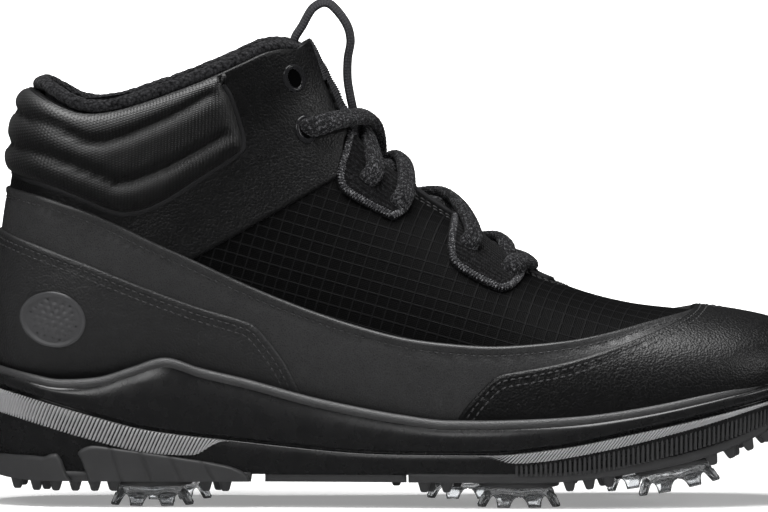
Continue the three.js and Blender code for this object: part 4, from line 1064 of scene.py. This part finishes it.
def smoothRoute(points, step):
    # centripetal Catmull-Rom, evenly spaced
    p = np.array(points)
    p = np.vstack([2 * p[0] - p[1], p, 2 * p[-1] - p[-2]])
    out = []
    for i in range(1, len(p) - 2):
        gaps = np.linalg.norm(np.diff(p[i - 1:i + 3], axis=0), axis=1)
        knots = np.concatenate([[0], np.cumsum(gaps ** 0.5)])
        u = np.linspace(knots[1], knots[2], 24, endpoint=False)[:, None]
        a = [(knots[k + 1] - u) / (knots[k + 1] - knots[k]) * p[i - 1 + k]
             + (u - knots[k]) / (knots[k + 1] - knots[k]) * p[i + k] for k in range(3)]
        b = [(knots[k + 2] - u) / (knots[k + 2] - knots[k]) * a[k]
             + (u - knots[k]) / (knots[k + 2] - knots[k]) * a[k + 1] for k in range(2)]
        out.append((knots[2] - u) / (knots[2] - knots[1]) * b[0]
                   + (u - knots[1]) / (knots[2] - knots[1]) * b[1])
    line = np.vstack(out + [p[-2:-1]])
    length = np.concatenate([[0], np.cumsum(np.linalg.norm(np.diff(line, axis=0), axis=1))])
    at = np.arange(0, length[-1], step)
    return np.stack([np.interp(at, length, line[:, k]) for k in range(3)], -1)


first, second = halfLace(-1, 2.1), halfLace(1, -2.1)
laceLine = smoothRoute(first[::-1] + second[1:], 0.75)
hint = np.array([-0.78, 0, 0.62])
tangent = np.gradient(laceLine, axis=0)
tangent /= np.linalg.norm(tangent, axis=1, keepdims=True)
acrossLace = hint - tangent * (tangent @ hint)[:, None]
acrossLace /= np.linalg.norm(acrossLace, axis=1, keepdims=True)
laceNormal = np.cross(acrossLace, tangent)
turns = np.linspace(0, 2 * math.pi, 16, endpoint=False)
braid = 1 + 0.035 * np.sin(np.arange(len(laceLine))[:, None] * 0.75 * 2 * math.pi / 2.25 + turns[None] * 4)
outline = np.sign(np.cos(turns)) * np.abs(np.cos(turns)) ** 0.8, np.sin(turns)
laceWide = (outline[0][None] * braid * lacePlan["width"] / 2)[..., None]
laceThick = (outline[1][None] * braid * lacePlan["thickness"] / 2)[..., None]
laceRings = laceLine[:, None] + acrossLace[:, None] * laceWide + laceNormal[:, None] * laceThick
lace = grow("lace", laceRings, finish["lace"], uvScale=(10, 2.0))
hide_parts("lace")

def decal(x, z, u, v, angle, side, offset):
    # a flat shape laid on the last's side, u forward and v up, turned by an angle
    c, s = math.cos(angle), math.sin(angle)
    return onLast(x + u * c - v * s, z + u * s + v * c, side, offset)[0]


# eyelet rings, each with a near-black disc behind it: painted shade filling the hole
for name, (x, z) in (("top", lacePlan["spare"]), ("lace", lacePlan["eyelets"][4])):
    for side, word in ((-1, "lateral"), (1, "medial")):
        a = np.linspace(0, 2 * math.pi, 49)[:, None]
        b = np.linspace(0, 2 * math.pi, 9, endpoint=False)[None]
        u, v = (4.35 + 0.95 * np.cos(b)) * np.cos(a), (3.0 + 0.95 * np.cos(b)) * np.sin(a)
        rings = decal(x, z, u, v, 1.9, side, 2.5 + 0.75 * np.sin(b) + 0 * a)
        eyelet = grow("eyelet_" + name + "_" + word, rings, finish["ring"], caps=False)
        tidyMesh(eyelet)
        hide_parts("eyelet_" + name + "_" + word)
        # a near-black disc over the ring's opening: painted shade of the hole
        a = np.linspace(0, 2 * math.pi, 24, endpoint=False)
        holeShade = decal(x, z, np.append(0, 3.9 * np.cos(a)), np.append(0, 2.6 * np.sin(a)), 1.9, side,
                       np.full(25, 2.62))
        wedges = [(0, 1 + k, 1 + (k + 1) % 24) for k in range(24)]
        hole = makeMesh("eyelet_back_" + name + "_" + word, holeShade, wedges, finish["hole"])
print("laced")

# sole
planLateral = np.array([[151, 0], [149.6, 12], [144, 24], [135, 34.5], [122, 43.5], [105, 49.5], [84, 52.6],
                        [62, 53.4], [40, 52.2], [18, 49.6], [-6, 46.4], [-32, 43.4], [-60, 41.4],
                        [-90, 40.4], [-115, 38.8], [-131, 33.8], [-143, 23.6], [-149.3, 12], [-151, 0]], float)
planMedial = planLateral.copy()
planMedial[4:17, 1] = [43, 48.2, 50.4, 50.4, 47.4, 43.2, 39.8, 38.2, 38.6, 39.4, 38.4, 33.8, 23.6]
planSides = {}
for side, plan in ((-1, planLateral), (1, planMedial)):
    turn = np.linspace(0, len(plan) - 1, 1600)
    points = np.stack([along(plan[:, 0], turn), along(plan[:, 1], turn)], -1)
    points[0, 1] = points[-1, 1] = 0
    ahead = np.gradient(points, axis=0)
    ahead[0], ahead[-1] = (0, 1), (0, -1)
    normal = np.stack([ahead[:, 1], -ahead[:, 0]], -1)
    normal /= np.linalg.norm(normal, axis=1, keepdims=True)
    length = np.concatenate([[0], np.cumsum(np.linalg.norm(np.diff(points, axis=0), axis=1))])
    planSides[side] = (points, normal, length)


def planAt(s, side, out):
    # a place round the sole's edge: s millimetres back from the toe tip, moved out
    points, normal, length = planSides[side]
    s = np.asarray(s, float)
    p = np.stack([np.interp(s, length, points[:, k]) for k in (0, 1)], -1)
    n = np.stack([np.interp(s, length, normal[:, k]) for k in (0, 1)], -1)
    n /= np.linalg.norm(n, axis=-1, keepdims=True)
    p = p + n * np.asarray(out)[..., None]
    return p[..., 0], centreLine(p[..., 0]) + side * np.maximum(p[..., 1], 0)


def placeOfX(x, side):
    points, normal, length = planSides[side]
    return float(np.interp(-x, -points[:, 0], length))


def soleSkin(name, rows, material, body="boot", step=1.3, fromX=None, toX=None):
    # a skin round the sole's edge through rows of (out, height over x), both ways from the toe
    rings = []
    for side in (-1, 1):
        s0 = 0 if toX is None else placeOfX(toX, side)
        s1 = planSides[side][2][-1] if fromX is None else placeOfX(fromX, side)
        s = np.linspace(s0, s1, int((s1 - s0) / step) + 2)
        columns = []
        for out, height in rows:
            x, y = planAt(s, side, np.full(len(s), float(out)))
            columns.append(np.stack([x, y, height(x)], -1))
        rings.append(np.stack(columns, 1))
    whole = [np.concatenate([rings[0][::-1], rings[1]])] if toX is None else rings
    made = []
    for k, part in enumerate(whole):
        word = "" if len(whole) == 1 else ("_lateral", "_medial")[k]
        made.append(grow(name + word, part, material, body, closed=False))
        tidyMesh(made[-1], 1e-5)
    return made


def lerp(a, b, k):
    return lambda x: a(x) * (1 - k) + b(x) * k


def shifted(line, by):
    return lambda x: line(x) + by


stripeHeelLow = heightLine([[-151, 34], [-144.7, 33.1], [-112, 24.1], [-91.8, 19.4], [-70, 18.6],
                            [-62, 19.6]])
stripeFrontLow = heightLine([[26, 18.2], [39.6, 16.2], [71.3, 20.5], [107.3, 29.2], [131.8, 36.4], [151, 41]])
ribsLow = heightLine([[35, 12.6], [39.6, 12.4], [66.6, 13.2], [80.6, 15.8], [110.2, 23], [131.8, 30],
                      [151, 38.6]])
plateTop = heightLine([[-151, 15.4], [-130, 12.4], [0, 12.4], [45, 12.4], [57, 12.8], [70, 14], [84, 16],
                       [98, 18.6], [110, 21.6], [122, 26], [134, 31.4], [145, 37.4], [151, 41.4]])
# rows of the sidewall from the inside over the rim, down past the groove and under: (out, height over x)
midsoleRows = [(-14, shifted(rimTop, -9)), (-8, shifted(rimTop, -5)), (-4.2, shifted(rimTop, -1.3)),
               (-3.4, shifted(rimTop, 0)), (-2.5, shifted(rimTop, 0.45)), (-1.7, shifted(rimTop, 0.1)),
               (-1.15, shifted(rimTop, -0.8)), (-1.5, shifted(rimTop, -1.7)), (-1.1, shifted(rimTop, -2.2)),
               (-0.3, lerp(rimTop, grooveLine, 0.3)), (0.35, lerp(rimTop, grooveLine, 0.5)),
               (0.2, lerp(rimTop, grooveLine, 0.75)), (-0.25, shifted(grooveLine, 1.3)),
               (-0.6, shifted(grooveLine, 0.8)), (-2.0, shifted(grooveLine, 0.35)),
               (-2.0, shifted(grooveLine, -0.35)), (-0.7, shifted(grooveLine, -0.7)),
               (-0.4, shifted(grooveLine, -1.1)), (-0.3, lerp(grooveLine, bottomLine, 0.3)),
               (-0.9, lerp(grooveLine, bottomLine, 0.6)), (-1.8, shifted(plateTop, -0.6)),
               (-12, shifted(plateTop, -0.6))]
midsole = soleSkin("midsole", midsoleRows, finish["midsole"])[0]
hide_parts("midsole", "strobel_board")
bead = soleSkin("midsole_bead", [(-3.9, shifted(rimTop, -0.5)), (-3.3, shifted(rimTop, 0.35)),
                                 (-2.4, shifted(rimTop, 0.75)), (-1.5, shifted(rimTop, 0.6)),
                                 (-0.7, shifted(rimTop, -0.1)), (-0.35, shifted(rimTop, -1.2)),
                                 (-0.45, shifted(rimTop, -2.3)), (-1.3, shifted(rimTop, -3.0))],
                finish["bead"])[0]


class Bars:
    # small raised ribs, laid on the sole's edge, in one mesh
    def __init__(self, name, material, shelf=0.3):
        self.name, self.material, self.shelf, self.points, self.faces = name, material, shelf, [], []

    def bar(self, side, s0, s1, low, high, wide, out, deep, steps=5, bend=0.0):
        # from s0 at the low line to s1 at the high line
        start = len(self.points)
        f = np.linspace(0, 1, steps + 1)
        s = s0 + (s1 - s0) * f
        x0, _ = planAt(s, side, np.zeros(steps + 1))
        z = low(x0) * (1 - f) + high(x0) * f
        taper = np.where((f == 0) | (f == 1), 0.55, 1.0)
        rise = (out - deep * (1 - taper)) + bend * np.sin(math.pi * f)
        shelf = self.shelf
        ds = np.stack([-wide / 2 + 0 * f, -wide * shelf * taper, 0 * f, wide * shelf * taper,
                       wide / 2 + 0 * f], -1)
        o = np.stack([out - deep + 0 * f, rise - deep * 0.12, rise, rise - deep * 0.12,
                      out - deep + 0 * f], -1)
        x, y = planAt(s[:, None] + ds, side, o)
        self.points += list(np.stack([x, y, np.broadcast_to(z[:, None], x.shape)], -1).reshape(-1, 3))
        for k in range(steps):
            for j in range(4):
                a = start + k * 5 + j
                self.faces.append((a, a + 1, a + 6, a + 5))
        self.faces.append(tuple(start + j for j in range(4, -1, -1)))
        self.faces.append(tuple(start + steps * 5 + j for j in range(5)))

    def finish(self, body="boot"):
        obj = makeMesh(self.name, np.array(self.points, float), self.faces, self.material, body)
        tidyMesh(obj, 1e-7)
        return obj


stripePlan = {"pitch": 1.3, "slant": 1.7, "wide": 1.05, "deep": 0.9, "ribPitch": 1.75}
slant = stripePlan["slant"]
stripes = Bars("sole_stripes", finish["stripe"])
sideRibs = Bars("sole_side_ribs", finish["outsole"])
for side in (-1, 1):
    end = planSides[side][2][-1]
    for s in np.arange(placeOfX(-64, side), end, stripePlan["pitch"]):
        x = float(planAt(s, side, 0.0)[0])
        share = float(smoothStep(-x, 62, 74))
        if share > 0.05:
            stripes.bar(side, s + slant, s - slant, lerp(shifted(grooveLine, -1.2), stripeHeelLow, share),
                        shifted(grooveLine, -1.0), stripePlan["wide"], 0.45, stripePlan["deep"])
    for s in np.arange(1, placeOfX(29, side), stripePlan["pitch"]):
        x = float(planAt(s, side, 0.0)[0])
        share = max(float(smoothStep(x, 27, 42)), 0.1)
        stripes.bar(side, s + slant, s - slant, lerp(shifted(grooveLine, -1.2), stripeFrontLow, share),
                    shifted(grooveLine, -1.0), stripePlan["wide"], 0.5, stripePlan["deep"])
    for s in np.arange(1, placeOfX(40, side), stripePlan["ribPitch"]):
        sideRibs.bar(side, s, s, shifted(ribsLow, -0.8), shifted(stripeFrontLow, -0.5), 1.2, -0.1, 0.9, 4)
stripeMesh, ribMesh = stripes.finish(), sideRibs.finish()

# the heel's side blocks, one behind and a longer one ahead of it with four slanted cuts
sideBlocks = {"rear": {"top": [[-152, 18.3], [-134, 18.3], [-129.5, 18], [-126, 19.2], [-124, 18.9],
                               [-122, 15.5]], "back": (-151, -151), "front": (-118.6, -122.3), "cuts": []},
              "front": {"top": [[-118, 16], [-116.8, 19.6], [-114.5, 21.6], [-111, 22.5], [-104.4, 21.8],
                                [-85, 19], [-64, 15.4], [-58, 13.2], [-54.5, 10.4]],
                        "back": (-112.9, -117.4), "front": (-54.6, -55.4),
                        "cuts": [-105.1, -94.3, -83.5, -72.0]}}
blockPlan = {"sunk": -1.9, "out": 0.75, "edge": 1.5, "cutDepth": 0.75, "cutWidth": 0.55, "cutSlant": 4.3}
blockPoints, blockFaces = [], []
for plan in sideBlocks.values():
    high, low = heightLine(plan["top"]), shifted(bottomLine, 0.15)
    for side in (-1, 1):
        f = np.linspace(0, 1, 15)[:, None]
        back, front = (placeOfX(plan[end][0], side) * (1 - f) + placeOfX(plan[end][1], side) * f
                       for end in ("back", "front"))
        k = np.linspace(0, 1, int(abs(back[0, 0] - front[0, 0]) / 0.55))[None, :]
        spot = back + (front - back) * k
        x, _ = planAt(spot, side, np.zeros(spot.shape))
        z = low(x) * (1 - f) + high(x) * f
        toEdge = np.minimum((1 - f) * (high(x) - low(x)), abs(spot - front))
        if plan["back"][0] > -150:
            toEdge = np.minimum(toEdge, abs(spot - back))
        relief = np.sqrt(1 - (1 - np.clip(toEdge / blockPlan["edge"], 0, 1)) ** 2)
        out = blockPlan["sunk"] + (blockPlan["out"] - blockPlan["sunk"]) * relief
        for cut in plan["cuts"]:
            away = abs(x - cut - blockPlan["cutSlant"] * (1 - f))
            out = out - blockPlan["cutDepth"] * relief * np.exp(-(away / blockPlan["cutWidth"]) ** 2)
        x, y = planAt(spot, side, out)
        start, wide = len(blockPoints), x.shape[1]
        blockPoints += list(np.stack([x, y, z], -1).reshape(-1, 3))
        corners = (start + r * wide + c for r in range(14) for c in range(wide - 1))
        blockFaces += [(a, a + 1, a + wide + 1, a + wide) for a in corners]
blockMesh = makeMesh("heel_side_blocks", np.array(blockPoints), blockFaces, finish["outsole"])
tidyMesh(blockMesh, 1e-7)


def plate(name, fromX, toX, outEdge, thick, material):
    # the outsole's flat: rows across, from one x to another, with a rounded edge
    xs = np.linspace(fromX, toX, int((toX - fromX) / 2) + 2)
    rings = []
    for x in xs:
        reach = 150.4
        f = min(x, reach) if x > 0 else max(x, -reach)
        left, right = (np.interp(placeOfX(f, side), planSides[side][2], planSides[side][0][:, 1])
                       for side in (-1, 1))
        left, right = max(left + outEdge, 1), max(right + outEdge, 1)
        z, c = float(bottomLine(x)), float(centreLine(x))
        ys = [(-left + 0.2, thick), (-left, thick * 0.55), (-left + 0.7, 0.25), (-left + 1.6, 0)]
        ring = [(x, c + y, z + up) for y, up in ys]
        ring += [(x, c + y, z) for y in np.linspace(-left + 4, right - 4, 17)]
        ring += [(x, c + right - 1.6, z), (x, c + right - 0.7, z + 0.25), (x, c + right, z + thick * 0.55),
                 (x, c + right - 0.2, z + thick)]
        ring += [(x, c + y, z + thick) for y in np.linspace(right - 6, -left + 6, 9)]
        rings.append(ring)
    return grow(name, rings, material)


# from x, to x, edge in from the sole's plan, thickness
outsolePlan = {"heel": (-149.5, -54.3, -1.4, 3.6), "midfoot": (-49.2, 1.6, -2.2, 3.3),
               "forefoot": (2.3, 149.6, -1.3, 3.5)}
for word, sizes in outsolePlan.items():
    obj = plate("outsole_" + word, *sizes, finish["outsole"])
    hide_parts("outsole_" + word)

# bosses and tread nubs under the sole
cleatSpots = {"heel_lateral": (-90, -20.5), "heel_medial": (-84, 20), "ball_lateral": (42, -33),
              "ball_medial": (24, 23), "front_lateral": (98, -27.5), "front_medial": (88, 29)}


def solePlane(x, y):
    slope = 0 if x < 60 else math.atan2(float(bottomLine(x + 8) - bottomLine(x - 8)), 16)
    origin = np.array([x, y, float(bottomLine(x))])
    ahead = np.array([math.cos(slope), 0, math.sin(slope)])
    up = np.array([-math.sin(slope), 0, math.cos(slope)])
    return lambda p: origin + ahead * p[0] + np.array([0, 1, 0]) * p[1] + up * p[2]


def turned(rows, around, toWorld, shape=None):
    rings = []
    for r, z in rows:
        ring = []
        for k in range(around):
            a = 2 * math.pi * k / around
            rr, zz = (r, z) if shape is None else shape(r, z, a)
            ring.append(toWorld((rr * math.cos(a), rr * math.sin(a), zz)))
        rings.append(ring)
    return rings


bossPoints, bossFaces = [], []


def addRings(rings, points, faces):
    start, cols = len(points), len(rings[0])
    for ring in rings:
        points += list(ring)
    for i in range(len(rings) - 1):
        for k in range(cols):
            j = (k + 1) % cols
            a, b = start + i * cols + k, start + i * cols + j
            faces.append((a, b, b + cols, a + cols))
    faces.append(tuple(start + k for k in range(cols - 1, -1, -1)))
    faces.append(tuple(start + (len(rings) - 1) * cols + k for k in range(cols)))


# (radius, height) rows of a boss round a cleat, and of a tread nub
bossShape = [(14.6, 0.4), (14.6, -1.1), (14.2, -1.6), (13.3, -1.9), (5.4, -1.9), (5.1, -1.6), (5.1, 0.4)]
nubShape = [(2.5, 0.4), (2.3, -0.2), (1.5, -2.9), (1.2, -3.4), (0.8, -3.6)]
for x, y in cleatSpots.values():
    addRings(turned(bossShape, 48, solePlane(x, y)), bossPoints, bossFaces)
nubs = [(-137, 0), (-128, -22), (-128, 22), (-66, -28), (-112, 2), (-66, 24), (10, -38), (-2, 0), (67, -43),
        (66, 38), (62, 0), (119, -32), (118, 32), (122, 0), (136, -15), (136, 15), (78, -6), (72, -34),
        (20, -8), (14, 34), (104, 4), (-104, -30), (-104, 30), (129, -23)]
edgeNubs = (-138.5, -131.5, -124.5, -117.5, -110.5, -103.5, -70.5, -63.5, 8, 16, 60, 67, 74, 111, 117.5, 124,
            130.5, 136.5)
for side in (-1, 1):
    for x in edgeNubs:
        edge = float(planAt(placeOfX(x, side), side, -6.0)[1])
        nubs.append((x, edge))


def square(r, z, a):
    return r / max(abs(math.cos(a)), abs(math.sin(a))) ** 0.75, z


for x, y in nubs:
    addRings(turned(nubShape, 16, solePlane(x, y), square), bossPoints, bossFaces)
tread = makeMesh("outsole_tread", np.array(bossPoints), bossFaces, finish["outsole"])
tidyMesh(tread, 1e-7)

# cleats: a clear disc on eight flared legs
cleatPlan = {"radius": 12.2, "top": -2.2, "disc": 2.0, "leg": 4.8, "flare": 3.2, "legs": 8}
discLow = cleatPlan["top"] - cleatPlan["disc"]
legTip = discLow - cleatPlan["leg"]


def legShape(r, z, a):
    # between the legs the skirt is cut away by an arch
    gapShare = 0.5 + 0.5 * math.cos(cleatPlan["legs"] * a)
    arch = 1 - max(0.0, (gapShare - 0.34) / 0.66) ** 0.55 if gapShare > 0.34 else 1.0
    low = discLow - 0.2
    if z < low:
        z = low + (z - low) * (1 - 0.86 * (1 - arch)) if gapShare > 0.34 else z
        r = r - (r - cleatPlan["radius"] - 0.4) * 0.7 * (1 - arch) if r > cleatPlan["radius"] + 0.4 else r
    return r, z


for name, (x, y) in cleatSpots.items():
    radius, flare = cleatPlan["radius"], cleatPlan["flare"]
    rows = [(4.8, 3.2), (4.8, cleatPlan["top"]), (radius - 0.5, cleatPlan["top"]),
            (radius + 0.1, cleatPlan["top"] - 0.4), (radius + 0.5, discLow + 0.4),
            (radius + 1.3, discLow - 1.4), (radius + 2.4, discLow - 3.2), (radius + flare, legTip + 0.5),
            (radius + flare - 0.3, legTip), (radius + flare - 1.4, legTip),
            (radius + flare - 1.9, legTip + 0.7), (radius - 0.4, discLow - 1.7), (radius - 2.2, discLow),
            (6.5, discLow), (5.6, discLow - 0.7), (2.6, discLow - 1.8), (1.2, discLow - 1.9)]
    cleat = grow("cleat_" + name, turned(rows, 128, solePlane(x, y), legShape), finish["cleat"],
                 "cleat_" + name)
    tidyMesh(cleat, 1e-7)
    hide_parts("cleat_" + name)
    holder = bpy.data.objects["receptacle_" + name]
    holder.data.materials.clear()
    holder.data.materials.append(finish["hard"])
for name in ("aglet_lateral", "aglet_medial"):
    bpy.data.objects[name].data.materials.clear()
    bpy.data.objects[name].data.materials.append(finish["hard"])

# badge: an oval with a rim, dimpled like a ball
share = np.array([0.0001] + list(np.linspace(0.06, 0.8, 16)) + [0.84, 0.88, 0.92, 0.96, 1.0, 1.02])[:, None]
angle = np.linspace(0, 2 * math.pi, 96, endpoint=False)[None]
u, v = np.cos(angle) * share, np.sin(angle) * share
dimples = np.array([(i * 0.235 + (0.1175 if j % 2 else 0), j * 0.21) for i in range(-4, 5)
                    for j in range(-4, 5)])
near = ((u[..., None] - dimples[:, 0]) ** 2 + (v[..., None] - dimples[:, 1]) ** 2).min(-1)
field = 5.0 - 0.7 * share ** 2 - 0.5 * np.clip(1 - near / 0.0078, 0, 1)
border = np.where((share > 0.86) & (share < 0.985), 5.35, np.where(share < 0.9, 4.6, 3.9))
badgeRings = decal(-124, 67.5, u * 11, v * 9.6, -0.3, -1, np.where(share < 0.8, field, border))
badge = grow("heel_badge", badgeRings, finish["badge"])
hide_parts("heel_badge")
print("sole, cleats and badge made")

# floor, backdrop and light
def stagePlane(name, corners, color, glow, lights):
    look = Recipe(name, color, 0.8)
    look.shader.inputs["Emission Color"].default_value = (1, 1, 1, 1)
    look.shader.inputs["Emission Strength"].default_value = glow
    # one-sided: nothing of it shows from behind or from below
    tree = look.material.node_tree
    kinds = ("NewGeometry", "BsdfTransparent", "MixShader")
    side, clear, mix = (tree.nodes.new("ShaderNode" + kind) for kind in kinds)
    output = next(n for n in tree.nodes if n.type == "OUTPUT_MATERIAL")
    tree.links.new(side.outputs["Backfacing"], mix.inputs[0])
    tree.links.new(look.shader.outputs[0], mix.inputs[1])
    tree.links.new(clear.outputs[0], mix.inputs[2])
    tree.links.new(mix.outputs[0], output.inputs["Surface"])
    mesh = bpy.data.meshes.new(name)
    mesh.from_pydata(corners, [], [(0, 1, 2, 3)])
    mesh.materials.append(look.material)
    plane = bpy.data.objects.new(name, mesh)
    bpy.context.scene.collection.objects.link(plane)
    # reflections of the planes would grey the dark leather
    plane.visible_glossy, plane.visible_diffuse = False, lights


studio = {"floor": (0.9, 0.9, 0.9), "floorGlow": 0.29, "backdropGlow": 1.05, "sky": 0.02,
          "lamps": {"over": ((-0.1, -0.15, 1.5), 1.1, 32), "front": ((-0.7, -1.5, 1.0), 0.6, 5),
                    "toe": ((1.4, -0.5, 0.9), 0.5, 4), "heel": ((-1.0, -0.9, 0.8), 0.4, 1.6)}}
half, near, far, high, low = 5, -6, 1.1, 4, -0.0002
stagePlane("floor", [(-half, near, low), (half, near, low), (half, far, low), (-half, far, low)],
           studio["floor"], studio["floorGlow"], True)
stagePlane("backdrop", [(-half, far, low), (half, far, low), (half, far, high), (-half, far, high)],
           studio["floor"], studio["backdropGlow"], False)
bpy.context.scene.view_settings.view_transform = "Standard"
world = bpy.data.worlds.new("studio")
bpy.context.scene.world = world
world.use_nodes = True
background = next(n for n in world.node_tree.nodes if n.type == "BACKGROUND")
background.inputs["Color"].default_value = (1, 1, 1, 1)
background.inputs["Strength"].default_value = studio["sky"]
for name, (where, size, power) in studio["lamps"].items():
    data = bpy.data.lights.new(name, "AREA")
    data.size, data.energy = size, power
    lamp = bpy.data.objects.new("light_" + name, data)
    lamp.location = where
    lamp.rotation_euler = (Vector((0, 0, 0.06)) - Vector(where)).to_track_quat("-Z", "Y").to_euler()
    bpy.context.scene.collection.objects.link(lamp)
